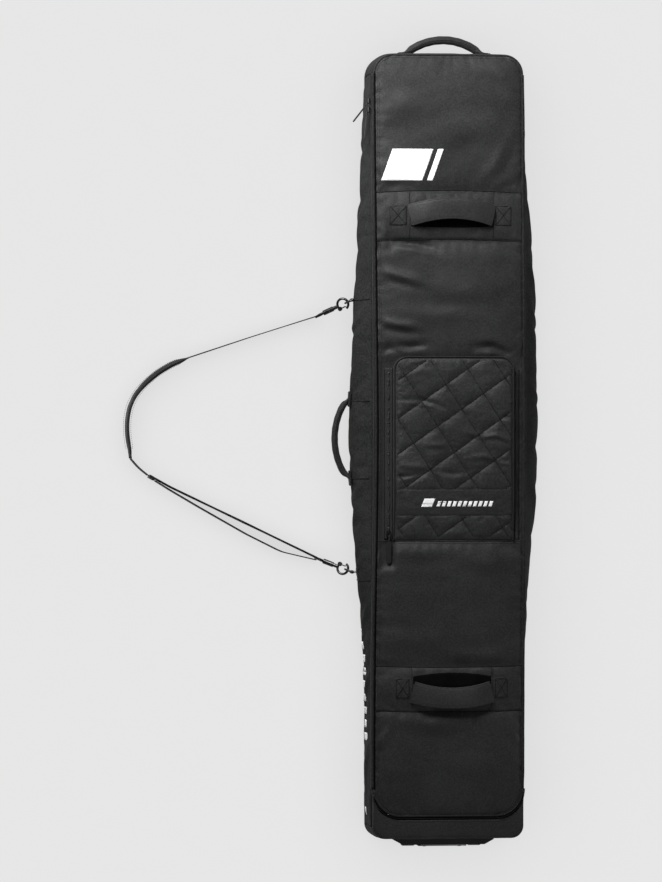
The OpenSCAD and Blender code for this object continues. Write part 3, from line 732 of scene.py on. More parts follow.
# Flat along the pocket's zip, so that its slider and pull run clear of the fabric
zip_bed = ramp(-149, -143, X) * (1 - ramp(-120, -114, X)) * ramp(-266, -254, Y) * (1 - ramp(178, 192, Y))
lid_p[..., 2] -= zip_bed * np.maximum(lid_p[..., 2] - ZIP_BED_Z, 0)
lid_shape = (lid_p.reshape(-1, 3), lid_shape[1], lid_shape[2])
lid_top = Surface(lid_shape)
piece("lid_panel_fabric", thicken(lid_shape, 1.6), "shell_fabric", "lid", ["lid_panel"], subsurf=1)

# The lid's padded inner face
lin_s = np.linspace(-1, 1, 27)
LINING = dict(half=151.5, y0=-782.0, y1=829.0, r0=49.0, r1=31.0)
lin_rows = end_rows(LINING, 110, 6, 6)
_, LX, LY, LD = panel_net(lin_s, lin_rows, LINING, shifted=True)
channel_gap = np.abs((LY + 2000) % 160 - 80)
under = 148.2 - 6.0 * edge_roll(LD, 8) + 1.6 * bell(channel_gap - 80, 6) * ramp(4, 14, LD)
lining_p = cols(LX, LY, under)[:, ::-1]
piece("lid_lining_panel", thicken(grid(lining_p), 1.2), "lining", "lid", ["lid_foam", "lid_lining"])


def lid_edge(inset, y_from, y_to, left=True):
    """A line along the lid's left or right edge."""
    y = np.linspace(y_from, y_to, int(abs(y_to - y_from) / 7) + 1)
    side = -1 if left else 1
    return cols(side * (LID["half"] - inset) + edge_shift(side, y), y, 0 * y)


def lid_round(inset, nose):
    """A line round the lid's nose or tail end, from its left side to its right."""
    r = LID["r1" if nose else "r0"]
    cy = LID["y1"] - r if nose else LID["y0"] + r
    a = np.linspace(0, math.pi / 2, 14)
    arc = cols(-(LID["half"] - r) - (r - inset) * np.cos(a), cy + (1 if nose else -1) * (r - inset) * np.sin(a))
    x = np.linspace(arc[-1, 0], -arc[-1, 0], 42)[1:-1]
    p = np.vstack([arc, cols(x, arc[-1, 1]), arc[::-1] * [-1, 1]])
    return np.c_[p, np.zeros(len(p))]


# Piping and binding round the lid
left_pipe = on(lid_top, lid_edge(3.2, GUSSET_Y1, ZIP_Y0), 0.7)
# The left piping is near-black as a painted shadow line along the lid's left edge.
piece("left_front_piping", cord(left_pipe, 1.9, 10), "facing", "lid", ["left_piping"])
tail_pipe = on(lid_top, lid_round(2.6, False), 0.6)
piece("lid_tail_binding", cord(tail_pipe, 1.9, 10), "trim_fabric", "lid")
nose_pipe = on(lid_top, lid_round(3.0, True), 0.4)
piece("lid_nose_piping", cord(nose_pipe, 1.6, 10), "trim_fabric", "lid")
right_pipe = on(lid_top, lid_edge(3.2, GUSSET_Y1, ZIP_Y0, left=False), 0.5)
piece("right_front_piping", cord(right_pipe, 1.5, 10), "trim_fabric", "lid")
for edge in (lid_edge(8.5, 790, -730), lid_edge(8.5, 790, -730, left=False), lid_round(9.0, False),
             lid_round(9.0, True)):
    stitch("lid", on(lid_top, edge, 0.35))
stitch("lid", on(lid_top, lid_edge(12.5, 790, -730), 0.35))

# Rain flap over the main zip: it hangs from the lid's left edge
fy = np.linspace(GUSSET_Y1, ZIP_Y0, 190)
flap_profile = np.array([(0.6, 149.6), (-1.0, 149.0), (-2.0, 147.0), (-2.4, 143.5), (-2.5, 139.5),
                         (-2.3, 136.0)])
FY, K = net(fy, np.arange(len(flap_profile)))
wave = 0.5 * rough(FY / 30, K * 0.3, 21) * (K > 1)
flap_p = cols(-162.9 + edge_shift(-1, FY) + flap_profile[K, 0] + wave * 0.6, FY, flap_profile[K, 1] + wave)
piece("rain_flap_strip", thicken(grid(flap_p[:, ::-1]), 1.3), "wall_fabric", "lid", ["rain_flap"])
flap_line = flap_p[:, 4] + [-0.2, 0, 0]
stitch("lid", flap_line)

# ---------------------------------------------------------------- walls
def corner_path(x0, y0, r):
    """Points and outward normals along the end wall: arc, straight, arc."""
    a = np.linspace(0, math.pi / 2, 9)
    sx, sy = np.sign(x0), np.sign(y0)
    first = cols(x0 - sx * r + sx * r * np.cos(a), y0 - sy * r + sy * r * np.sin(a))
    n_first = cols(sx * np.cos(a), sy * np.sin(a))
    inner = abs(x0) - r
    x = np.unique(np.r_[np.linspace(-inner, inner, int(inner / 3)), -BASE_HALF, BASE_HALF])[1:-1] * -sx
    x = np.sort(x) if sx < 0 else np.sort(x)[::-1]
    mid = cols(x, y0)
    n_mid = np.tile([0, sy], (len(x), 1))
    last, n_last = first[::-1] * [-1, 1], n_first[::-1] * [-1, 1]
    return np.vstack([first, mid, last]), np.vstack([n_first, n_mid, n_last])


def wall(points, outward, heights, out):
    """A wall through points, with out(y, z, along) added outwards."""
    along = travelled(points)
    A, H = net(along, heights)
    px, py = points[:, 0][:, None], points[:, 1][:, None]
    low = EDGE_R - np.sqrt(EDGE_R**2 - np.clip(EDGE_R - H, 0, EDGE_R) ** 2)
    top = 3 - np.sqrt(9 - np.clip(H - (WALL_TOP - 3), 0, 3) ** 2)
    move = out(py + 0 * H, H, A) - low - top * (H > BAND_Z)
    return cols(px + outward[:, 0][:, None] * move, py + outward[:, 1][:, None] * move, H)


def bulge_at(y, z):
    """How far the side walls stand out."""
    return BULGE * bump(y) * np.sin(np.pi * np.clip((z - BACK_Z) / (BAND_Z - BACK_Z), 0, 1))


SIDE_CREASES = [
    # (along Y, height Z) points, width, depth, skew
    ([(420, 118), (330, 84), (250, 60)], 11, 5, 0.5),
    ([(300, 112), (262, 80), (240, 40)], 9, 4, 0.5),
    ([(150, 120), (120, 92), (100, 66)], 9, 4, -0.5),
    ([(-60, 118), (-110, 90), (-180, 74)], 11, 5, 0.5),
    ([(-330, 120), (-380, 86), (-460, 60)], 12, 5, 0.5),
    ([(-480, 116), (-540, 70), (-590, 34)], 12, 5.5, 0.55),
    ([(-620, 112), (-690, 76), (-760, 60)], 13, 5, 0.5),
    ([(560, 116), (500, 80), (430, 56)], 12, 4.5, -0.5),
    ([(-200, 20), (-80, 30), (60, 20)], 12, 3, 0.5),
    ([(700, 110), (650, 70), (640, 30)], 12, 4, 0.5),
]


def side_out(side, top_z):
    """The outward shape of a side wall: its bulge, a swell of its own, creases and unevenness."""
    lean = LEAN_LEFT if side < 0 else -LEAN_RIGHT
    swell, swell_y, reach, swell_top = (8.0, 420, 260, 135) if side > 0 else (4.0, 590, 150, 118)

    def out(y, z, along):
        fade = np.sin(np.pi * np.clip((z - 6) / (top_z - 8), 0, 1)) ** 0.7
        value = bulge_at(y, z) - lean * bump(y) * ramp(60, WALL_TOP, z)
        value = value + swell * bell(y - swell_y, reach) * np.sin(np.pi * np.clip(z / swell_top, 0, 1))
        for points, width, depth, skew in SIDE_CREASES:
            value = value + fade * crease(y, z, points, width, depth, skew)
        value = value + fade * (1.6 * rough(y / 62, z / 34, 31 + side) + 0.7 * rough(y / 24, z / 17, 33 + side))
        seam = bell(z - top_z, 9)
        return value + 0.9 * rough(y / 13, z / 60, 37 + side) * seam * (z < top_z - 1)

    return out


def side_wall(side, z1, n):
    y = np.linspace(GUSSET_Y1, GUSSET_Y0, 215)
    y = y if side < 0 else y[::-1]
    points = cols(side * HALF_W, y)
    outward = np.tile([side, 0.0], (len(y), 1))
    z = np.r_[1.2, 3, 6, np.linspace(10, z1, n)]
    p = wall(points, outward, z, side_out(side, z1))
    shape = grid(p)
    held = np.zeros(p.shape[:2], bool)
    held[:, :2] = held[:, -2:] = held[:3] = held[-3:] = True
    return puff(shape, held.ravel(), 3.0, 0.015, 4.0), p.shape[:2]


left_shape, left_size = side_wall(-1, BAND_Z, 17)
right_shape, _ = side_wall(1, WALL_TOP - 0.4, 20)
for side, shape in (("left", left_shape), ("right", right_shape)):
    piece(f"{side}_gusset_fabric", thicken(shape, 1.8), "wall_fabric", "bag", [f"{side}_gusset"], subsurf=1)

# Seams of the patches behind the strap's anchors and the side handle
left_rows = left_shape[0].reshape(*left_size, 3)
patch_seams = []
for at in PATCH_SEAM_YS:
    row = left_rows[np.abs(left_rows[:, 8, 1] - at).argmin(), 4:-1]
    patch_seams.append(sweep(row - [0.7, 0, 0], (0, 1, 0), circle(0.9, 6)))
piece("left_gusset_patch_seams", join(patch_seams), "thread", "bag")


def band_x(y, z):
    """The left band's outer face."""
    return -HALF_W + LEAN_LEFT * bump(y) * ramp(60, WALL_TOP, z)


by = np.linspace(GUSSET_Y1, GUSSET_Y0, 215)
BY, BZ = net(by, np.r_[BAND_Z - 0.3, 127, 131, 136, 141, 144.4, 146.2, WALL_TOP])
band_p = cols(band_x(BY, BZ) + (3 - np.sqrt(9 - np.clip(BZ - 144.4, 0, 3) ** 2)), BY, BZ)
piece("left_zip_band_fabric", thicken(grid(band_p), 1.6), "wall_fabric", "bag", ["left_zip_band"])
seam_p = cols(band_x(by, BAND_Z) - 0.9, by, BAND_Z)
piece("left_gusset_piping", cord(seam_p, 1.7), "thread", "bag")
stitch("bag", cols(band_x(by, 121) - bulge_at(by, 121) - 1.2, by, 121.0))

# The ends
nose_pts, nose_out = corner_path(HALF_W, HALF_L, NOSE_R)
tail_pts, tail_out = corner_path(-HALF_W, -HALF_L, TAIL_R)
end_z = np.r_[1.2, 3, 6, np.linspace(10, BASE_TOP, 9), np.linspace(BASE_TOP, WALL_TOP - 0.4, 9)[1:]]


def end_swell(fullness):
    def out(y, z, along):
        fade = np.sin(np.pi * along / along.max()) ** 0.5 * np.sin(np.pi * np.clip((z - 2) / 146, 0, 1)) ** 0.7
        waves = 1.1 * rough(along / 40, z / 26, 41) + 0.6 * rough(along / 17, z / 12, 43)
        return fade * (fullness + waves)

    return out


NOSE_SWELL = 4.6
nose_p = wall(nose_pts, nose_out, end_z, end_swell(NOSE_SWELL))
piece("nose_panel_fabric", thicken(grid(nose_p), 1.8), "wall_fabric", "bag", ["nose_panel"], subsurf=1)
tail_p = wall(tail_pts, tail_out, end_z, end_swell(1.8))
tail_shape = without(grid(tail_p), lambda c: (np.abs(c[:, 0]) < BASE_HALF) & (c[:, 2] < BASE_TOP))
piece("tail_panel_fabric", thicken(tail_shape, 1.8), "wall_fabric", "bag", ["tail_panel"], subsurf=1)

# The strip in front of the lid's tail end
front_in = lid_round(-1.2, False)[:, :2]
r = TAIL_R
ang = np.linspace(0, math.pi / 2, 9)
out_arc = cols(-(HALF_W - r) - r * np.cos(ang), -(HALF_L - r) - r * np.sin(ang))
out_left = np.vstack([cols(-HALF_W, np.linspace(-748, -(HALF_L - r), 6))[:-1], out_arc])
x = np.linspace(out_left[-1, 0], -out_left[-1, 0], 42)[1:-1]
front_out = np.vstack([out_left, cols(x, -HALF_L), out_left[::-1] * [-1, 1]])
strip_rows = np.linspace(0, 1, 9)
P = front_in[:, None] * (1 - strip_rows)[None, :, None] + front_out[:, None] * strip_rows[None, :, None]
drop = 3.4 * (1 - edge_roll(1 - np.abs(2 * strip_rows - 1), 0.55))
ripple = 0.6 * rough(P[..., 0] / 26, P[..., 1] / 14, 51) * np.sin(np.pi * strip_rows)
strip_p = np.concatenate([P, (150.6 - drop + ripple)[..., None]], -1)
piece("tail_front_strip_fabric", thicken(grid(strip_p[:, ::-1]), 1.6), "shell_fabric", "bag",
      ["tail_front_strip"], subsurf=1)
strip_top = Surface(grid(strip_p), 148)
tape_rows = np.stack([lid_round(-0.4 - k, False) for k in (0.0, 1.2, 2.4, 3.5, 4.6)], 1)
tape_rows = tape_rows[np.abs(tape_rows[:, -1, 0]) < HALF_W - 9]
tape_rows[..., 2] = np.maximum(strip_top.z(tape_rows[..., 0], tape_rows[..., 1]), 147.4) + 0.7
# This tape is near-black as painted shade in the gap round the lid's tail end.
piece("main_zip_tail_tape", thicken(grid(tape_rows[:, ::-1]), 0.8), "facing", "bag")
tail_rim = np.c_[front_out * [0.992, 0.9975], np.full(len(front_out), 148.4)]
piece("tail_front_piping", cord(tail_rim, 1.6), "trim_fabric", "bag")
stitch("bag", np.c_[front_in * 0.97 + front_out * 0.03 - [0, 6], np.full(len(front_in), 151.0)][10:-10])

# The back, with its rounded edge, open at the wheel base
BACK = dict(half=HALF_W - 0.6, y0=-HALF_L + 0.6, y1=HALF_L - 0.6, r0=TAIL_R, r1=NOSE_R)
back_s = np.unique(np.r_[np.linspace(-1, 1, 31), -0.985, 0.985, BASE_HALF / BACK["half"],
                         -BASE_HALF / BACK["half"]])
back_rows = np.unique(np.r_[end_rows(BACK, 100, 8, 8), BASE_Y1])
_, QX, QY, QD = panel_net(back_s, back_rows, BACK)
back_z = 1.7 * (1 - edge_roll(QD, 8)) + 1.1 * bell(QD - 22, 3)
back_shape = without(grid(cols(QX, QY, back_z)[:, ::-1]),
                     lambda c: (np.abs(c[:, 0]) < BASE_HALF) & (c[:, 1] < BASE_Y1))
back_sheet = piece("back_panel_fabric", thicken(back_shape, 2.0), "shell_fabric", "bag", ["back_panel"])

# Inside: lining over foam and board
IN = dict(half=156.5, y0=-834.0, y1=834.0, r0=20.0, r1=37.0)
in_s = np.linspace(-1, 1, 25)
in_rows = end_rows(IN, 100, 6, 6)
_, IX, IY, ID = panel_net(in_s, in_rows, IN)
base_cut = -HALF_L + 77
in_z = 10.6 + 2.0 * (1 - edge_roll(ID, 12)) - 0.9 * bell((IY + 2000) % 120 - 60, 3)
in_shape = without(grid(cols(IX, IY, in_z)), lambda c: c[:, 1] <= base_cut)
piece("base_lining_panel", thicken(in_shape, 6.0), "lining", "bag", ["base_lining", "back_foam", "base_board"])

# ---------------------------------------------------------------- handle panels and grab straps on the lid
def handle_panel(which, rows_y, bow):
    """The panel under a grab strap. Its nose and tail edges bow towards the nose. Returns its surface."""
    (x0, x1), (y0, y1) = PANEL_X, rows_y
    PX, T = net(np.linspace(x0, x1, int((x1 - x0) / 5)), np.linspace(0, 1, int((y1 - y0) / 4.5)))
    mid, half = (x0 + x1) / 2, (x1 - x0) / 2
    PY = y0 + (y1 - y0) * T + bow * (1 - ((PX - mid) / half) ** 2)
    edge = np.minimum(np.minimum(T, 1 - T) * (y1 - y0), np.minimum(PX - x0, x1 - PX))
    height = lid_top.z(PX, PY) + 1.4 - 0.7 * np.exp(-edge / 1.5)
    shape = grid(cols(PX, PY, height + 0.4 * rough(PX / 19, PY / 12, 61) * ramp(0, 14, edge)))
    piece(f"{which}_handle_panel_fabric", thicken(shape, 1.2), "shell_fabric", "lid", [f"{which}_handle_panel"],
          subsurf=1)
    return Surface(shape, 152)


def hump(x0, x1, y0, y1, bow):
    """The outline of a lid patch, a little inside its edge."""
    x = np.linspace(x0, x1, 60)
    mid, half = (x0 + x1) / 2, (x1 - x0) / 2
    lift = bow * (1 - ((x - mid) / half) ** 2)
    return cols(x, y0 + lift), cols(x, y1 + lift)


def grab_section():
    """Section of a grab strap of width 1: cupped a little, with a stitched hem along each edge."""
    section = flat(1.0, 0.06, 25, cup=0.03)
    hem = bell(np.abs(section[:, 0]) - 0.43, 0.018) * (np.abs(section[:, 0]) < 0.48)
    section[:, 1] -= 0.014 * hem * np.sign(section[:, 1] - 0.01)
    return section


def grab(which, rows_y, seam_x, box_x, strap_y, bow, shift, drop, rise, tilt_deg, facing):
    """A handle panel with its flat grab strap.

    bow curves the panel's seams. The strap's middle moves along the lid by shift, the whole strap by -drop, and
    it stands off the lid by rise. The last argument says how the near-black sheet of painted shadow beside the strap
    runs: two numbers for its first edge, at its ends and added in its middle, and two for its width.
    """
    y0, y1 = rows_y
    top = handle_panel(which, rows_y, bow)
    seam_lines = []
    for line, edge in zip(hump(-155, 158, y0 + 2.8, y1 - 2.8, bow), hump(-156, 159, y0 - 0.6, y1 + 0.6, bow)):
        stitch("lid", on(top, line, 0.2))
        seam_lines.append(cord(on(lid_top, edge, 0.5), 1.0))
    for x in seam_x:
        line = cols(float(x), np.linspace(y0 + 3, y1 + 2, 24))
        seam_lines.append(cord(on(top, line, 0.0), 1.0))
        line[:, 0] += 3.2 * np.sign(x)
        stitch("lid", on(top, line, 0.2))
    ends = []
    for x0, x1 in box_x:
        gx, gy = net(np.linspace(x0, x1, 12), np.linspace(strap_y - 23, strap_y + 23, 13))
        edge = np.minimum(np.minimum(gx - x0, x1 - gx), 23 - np.abs(gy - strap_y))
        box = grid(cols(gx, gy, top.z(gx, gy) + 0.3 + 0.9 * edge_roll(edge, 3)))
        box_top = Surface(box, 152)
        ends.append(thicken(box, 1.2))
        a, b, c, d = x0 + 3, x1 - 3, strap_y - 20, strap_y + 20
        for line in ([(a, c), (b, c), (b, d), (a, d), (a, c)], [(a, c), (b, d)], [(a, d), (b, c)]):
            seam_lines.append(cord(on(box_top, resample(line, 3), 0.3), 0.85, 6))
    piece(f"{which}_panel_seams", join(seam_lines), "thread", "lid")
    piece(f"{which}_grab_end_boxes", join(ends), "shell_fabric", "lid", [f"{which}_grab_ends"], subsurf=1)
    left, right = seam_x[0] + 0.4, seam_x[1] - 0.4
    middle, half = (left + right) / 2, (right - left) / 2
    base = float(top.z(middle, strap_y))
    # A near-black sheet under the strap as painted shadow. It shows along the side that the strap bows away from,
    # where the strap's shadow falls.
    fx, ft = net(np.linspace(left + 2, right - 2, 60), np.linspace(0, 1, 9))
    arch = 1 - ((fx - middle) / half) ** 2
    at, at_arch, wide, wide_arch = facing
    fy = strap_y + at + at_arch * arch + ft * (wide + wide_arch * arch)
    order = slice(None) if wide > 0 else slice(None, None, -1)
    facing_shape = thicken(grid(cols(fx, fy, top.z(fx, fy) + 1.5)[:, order]), 1.2)
    piece(f"{which}_grab_facing", facing_shape, "facing", "lid")
    for side, foot in (("left", left), ("right", right)):
        x = np.linspace(*sorted((foot, middle)), 40)
        arch = 1 - ((x - middle) / half) ** 2
        z = base + 1.4 + rise * np.sin(np.pi * arch / 2)
        y = strap_y - drop + shift * arch
        tilt = math.radians(tilt_deg) * arch**0.6
        across = cols(0 * x, np.cos(tilt), -np.sin(tilt))
        shape = sweep(cols(x, y, z), across, grab_section(), cols(47 - 1.5 * arch, 47.0))
        strap = piece(f"{which}_grab_strap_{side}", shape, "grab_fabric", None,
                      [f"{which}_grab_strap"] if side == "left" else [])
        strap.data.set_sharp_from_angle(angle=math.radians(55))
        blended(strap)


grab("upper", UPPER_PANEL, (-85, 96), ((-131, -90), (98, 137)), strap_y=494, bow=5.0, shift=15, drop=0,
     rise=17.0, tilt_deg=3, facing=(-23, -2.5, 1, 23))
grab("lower", LOWER_PANEL, (-80, 93), ((-117, -84), (97, 129)), strap_y=-517, bow=-3.0, shift=-13, drop=8,
     rise=9.0, tilt_deg=10, facing=(25, 8, -14, -26))

# ---------------------------------------------------------------- the pocket
QUILT_A, QUILT_B = 0.705, -1.534  # slopes of the two families of quilting
QUILT_A_AT = np.array([378.1, 298.7, 219.7, 138.5, 61.7, -19.5, -98.2, -176.0, -254.0, -333.0])
QUILT_B_AT = np.array([-450.0, -341.0, -227.0, -111.5, 5.0, 121.8, 227.3, 332.8, 440.0])


def quilt_gap(x, y, slope, starts):
    """Distance to the nearest line of one family."""
    d = np.min([np.abs(y - slope * x - c) for c in starts], axis=0)
    return d / math.hypot(1, slope)


ps = np.linspace(-1, 1, 85)
ps = ps * (1.12 - 0.12 * ps**2)
pr = end_rows(POCKET, 118, 4, 11)
_, PXX, PYY, PD = panel_net(ps, pr, POCKET, x0=POCKET_X)
gap_a = quilt_gap(PXX, PYY, QUILT_A, QUILT_A_AT)
gap_b = quilt_gap(PXX, PYY, QUILT_B, QUILT_B_AT)
in_band = ramp(BAND_Y[0] - 3, BAND_Y[0] + 1, PYY) * (1 - ramp(BAND_Y[1] - 1, BAND_Y[1] + 3, PYY))
puffed = (1 - np.exp(-gap_a / 7)) * (1 - np.exp(-gap_b / 7)) * (1 - in_band)


def lid_under(x, y):
    """The lid's height under the pocket's stitched area."""
    return lid_top.z(np.clip(x, -118, 139), np.clip(y, -196, 186))


def pocket_rise(y):
    """Height of the pocket over the lid, less at its foot."""
    return POCKET_H * (1 - 0.62 * ramp(-110, -201, y))


top_z = lid_under(PXX, PYY) - 0.6 + pocket_rise(PYY) * edge_roll(PD, 9)
top_z += 2.4 * puffed * ramp(2, 16, PD)
held = (PD < 7) | (gap_a < 1.7) | (gap_b < 1.7) | (in_band > 0.5)
pocket_shape = puff(grid(cols(PXX, PYY, top_z)), held.ravel(), 9.0, 0.02, 2.6, bend=0.3)
pocket_p = pocket_shape[0].reshape(*PXX.shape, 3).copy()
POCKET_CREASES = [
    ([(-118, 97), (-66, 97), (-34, 89), (-2, 75)], 6, -2.6, 0.5),
    ([(-56, 2), (-28, -1), (2, 0)], 7, 1.6, 0.5),
    ([(-112, -44), (-78, -47), (-44, -46)], 7, 1.8, 0.4),
    ([(-118, -67), (-92, -66), (-64, -60)], 5, -2.4, 0.4),
    ([(-26, -56), (8, -62), (44, -57)], 7, -2.2, 0.4),
    ([(66, 16), (100, 20), (138, 6)], 6, 2.2, 0.6),
    ([(108, 57), (124, 60), (139, 56)], 5, -2.0, 0.4),
    ([(40, -28), (72, -24), (104, -29)], 7, 1.8, 0.5),
    ([(104, -28), (124, -33), (140, -29)], 5, -2.0, 0.4),
    ([(26, 30), (54, 22), (76, 26)], 7, 1.5, 0.5),
    ([(-96, 150), (-60, 160), (-30, 152)], 9, 1.4, 0.4),
]
pocket_soft = ramp(5, 14, PD)
for points, width, depth, skew in POCKET_CREASES:
    pocket_p[..., 2] += pocket_soft * crease(PXX, PYY, points, width, depth * POCKET_FOLDS, skew) * (1 - in_band)
sharp = np.exp(-gap_a / 2.2) + np.exp(-gap_b / 2.2)
pocket_p[..., 2] -= 1.3 * np.minimum(sharp, 1) * pocket_soft * (1 - in_band)
pocket_p[..., 2] += 0.45 * pocket_soft * rough(PXX / 34, PYY / 9, 71)
pocket_shape = (pocket_p.reshape(-1, 3), pocket_shape[1], pocket_shape[2])
pocket_top = Surface(pocket_shape, 160)
piece("pocket_quilted_panel", thicken(pocket_shape, 1.8), "quilted_fabric", "lid", ["pocket_shell"], subsurf=1)


def clip_line(slope, start):
    """A quilting line's run inside the pocket's stitched area."""
    x = np.arange(-118.0, 139.5, 1.5)
    y = slope * x + start
    ok = inside(x - POCKET_X, y, **POCKET) > 8
    ok &= (y < BAND_Y[0] - 2) | (y > BAND_Y[1] + 2)
    runs, run = [], []
    for i, good in enumerate(ok):
        if good:
            run.append((x[i], y[i]))
        if (not good or i == len(ok) - 1) and len(run) > 4:
            runs.append(np.array(run))
        if not good:
            run = []
    return runs


quilt_seams = []
for slope, starts in ((QUILT_A, QUILT_A_AT), (QUILT_B, QUILT_B_AT)):
    for c in starts:
        for run in clip_line(slope, c):
            stitch("lid", on(pocket_top, run, 0.5), pitch=3.4, length=2.4, r=0.4)
            quilt_seams.append(cord(on(pocket_top, run, 0.5), 1.1, 6))
piece("pocket_quilt_seams", join(quilt_seams), "thread", "lid")

# Piping round the pocket's upper edge, from its tail end up one side and down the other
a = np.linspace(0, math.pi / 2, 14)
r = POCKET["r1"]
arc = cols(-(POCKET["half"] - r) - r * np.cos(a), POCKET["y1"] - r + r * np.sin(a))
side_y = np.arange(SEAM_Y + 1, POCKET["y1"] - r, 5.0)
left_run = np.vstack([cols(-POCKET["half"], side_y), arc])
pipe = rounded(np.vstack([left_run, left_run[::-1] * [-1, 1]]) * [0.985, 1] - [0, 1.6], 3.0, 2)
pipe_z = lid_under(pipe[:, 0] + POCKET_X, pipe[:, 1]) + pocket_rise(pipe[:, 1]) - 1.9
pipe = np.c_[pipe + [POCKET_X, 0], pipe_z]
piece("pocket_edge_piping", cord(pipe, 1.7, 10), "trim_fabric", "lid", ["pocket_piping"])
inner = (pipe - [POCKET_X, 0, 0]) * [0.955, 0.985, 1] + [POCKET_X, 0, 0]
stitch("lid", on(pocket_top, inner, 0.3))

# The plain band across the pocket
bx, bt = net(np.linspace(-117, 138, 56), np.linspace(0, 1, 15))
b_y = BAND_Y[0] + (BAND_Y[1] - BAND_Y[0]) * bt
b_edge = np.minimum(bt, 1 - bt) * (BAND_Y[1] - BAND_Y[0])
b_z = pocket_top.z(bx, b_y) + 1.4 - 0.7 * np.exp(-b_edge / 1.6)
b_z += 0.5 * rough(bx / 45, b_y / 19, 81) * ramp(0, 12, b_edge)
band_shape = grid(cols(bx, b_y, b_z))
band_top = Surface(band_shape, 164)
piece("pocket_band_strip", thicken(band_shape, 1.4), "shell_fabric", "lid", ["pocket_band"], subsurf=1)
for y in (BAND_Y[0] + 2.6, BAND_Y[1] - 2.6):
    stitch("lid", on(band_top, cols(np.linspace(-115, 136, 90), y), 0.3))

# The seam across the lid at the pocket's foot, and the narrow strips beside the pocket
seam_line = cols(np.linspace(-155, 158, 90), SEAM_Y - 1.5)
piece("lid_cross_seam", cord(on(lid_top, seam_line, 0.3), 1.0), "trim_fabric", "lid")
stitch("lid", on(lid_top, seam_line - [0, 5], 0.4))
zy = np.linspace(-199, 168, 92)
zx, zt = net([-137.5, -136.5, -133, -129.5, -126, -122.5, -121.5], zy)
tape_z = lid_top.z(zx, zt) + 0.8 + 0.3 * bell(zx + 129.5, 3)
tape_shape = grid(cols(zx, zt, tape_z))
tape_top = Surface(tape_shape, 152)
coil_y = np.arange(-199, 168, 0.6)
coil_line = on(tape_top, cols(-129.5, coil_y), 0.3)
coil_scale = 1 + 0.3 * np.sin(coil_y * 2 * np.pi / 2.4)
piece("pocket_zip_tape", thicken(tape_shape, 1.0), "zip_tape", "lid", ["pocket_zip"])
piece("pocket_zip_coil", sweep(coil_line, (1, 0, 0), circle(1.9, 8, 0.8), coil_scale), "coil", "lid")
for x in (-135.0, -124.0):
    stitch("lid", on(tape_top, cols(x, np.linspace(-198, 166, 90)), 0.2))
sx, sy = net([143.5, 144.5, 147.5, 150.5, 151.5], np.linspace(-199, 166, 92))
strip_z = lid_top.z(sx, sy) + np.array([0.4, 1.2, 1.5, 1.2, 0.4])[:, None] + 0.3 * rough(sy / 14, sx / 9, 91)
side_shape = grid(cols(sx, sy, strip_z))
piece("pocket_side_strip", thicken(side_shape, 1.0), "zip_tape", "lid", subsurf=1)
edge_y = np.linspace(-198, 167, 90)
tape_edges = [cord(on(lid_top, cols(x, edge_y), 0.7), 0.9, 6) for x in (-138.2, -121.0, 143.0, 152.2)]
piece("pocket_tape_seams", join(tape_edges), "thread", "lid")
side_top = Surface(side_shape, 152)
for x in (145.2, 149.8):
    stitch("lid", on(side_top, cols(x, np.linspace(-197, 164, 90)), 0.2))


# ---------------------------------------------------------------- main zip
def zip_half(name, z_edge, z_coil, body, node, flip):
    """One side of the main zip: its tape and its row of teeth, on the left band."""
    y = np.linspace(ZIP_Y1, ZIP_Y0, 190)
    z = np.linspace(z_edge, z_coil, 4)
    ty, tz = net(y, z)
    p = cols(band_x(ty, tz) - 1.2 - 0.3 * (np.abs(tz - ZIP_Z) < 2), ty, tz)
    if flip:
        p = p[:, ::-1]
    piece(f"{name}_tape", thicken(grid(p), 0.9), "zip_tape", body, [node])
    fine = np.arange(ZIP_Y0, ZIP_Y1, 0.6)[::-1]
    teeth = cols(band_x(fine, z_coil) - 2.3, fine, z_coil)
    size = 1 + 0.28 * np.sin(fine * 2 * np.pi / 2.4 + (0 if flip else np.pi))
    piece(f"{name}_teeth", sweep(teeth, UP, circle(1.25, 8, 1.1), size), "coil", body)


zip_half("main_zip_body", 126.2, 129.4, "bag", "main_zip_body_half", False)
zip_half("main_zip_lid", 135.0, 131.6, "lid", "main_zip_lid_half", True)
tail_zip = lid_round(-2.2, False)
tail_zip[:, 2] = 147.8
tail_zip = resample(tail_zip, 0.8)
tail_scale = 1 + 0.28 * np.sin(np.arange(len(tail_zip)) * 2 * np.pi / 3)
piece("main_zip_tail_teeth", sweep(tail_zip, UP, circle(1.3, 6), tail_scale), "coil", "bag")

# A pale cord as a painted highlight along the top of the kick bar, between the wheel base and the bar
edge_line = np.array([(x, -858.9, 64.4) for x in np.linspace(-47, 51, 12)])
piece("kick_bar_painted_highlight", cord(edge_line, 0.9), "painted_highlight", "bag")

# ---------------------------------------------------------------- the hinge at the right edge
HINGE_PAST_ZIP = 16
hy = np.linspace(GUSSET_Y1 - 1, ZIP_Y0 - HINGE_PAST_ZIP, 170)
hinge_profile = np.array([(1.0, 133.0), (1.9, 139.0), (2.1, 144.0), (1.8, 148.0), (0.6, 150.6), (-1.8, 151.6),
                          (-4.0, 151.7)])
HY, K = net(hy, np.arange(len(hinge_profile)))
lean_right = LEAN_RIGHT * bump(HY) * ramp(60, WALL_TOP, hinge_profile[K, 1])
run_out = ramp(0, 40, HY - ZIP_Y0) * ramp(0, 90, GUSSET_Y1 - HY)
hx = HALF_W + lean_right + hinge_profile[K, 0] * (0.25 + 0.75 * run_out) + 0.25 * rough(HY / 18, K * 0.5, 95)
hinge = piece("hinge_strip", thicken(grid(cols(hx, HY, hinge_profile[K, 1])), 1.1), "wall_fabric", subsurf=1)
blended(hinge)
piping_y = np.linspace(GUSSET_Y1 - 2, ZIP_Y0, 170)
piping_x = HALF_W + LEAN_RIGHT * bump(piping_y) * ramp(60, WALL_TOP, 132.0) + 1.9
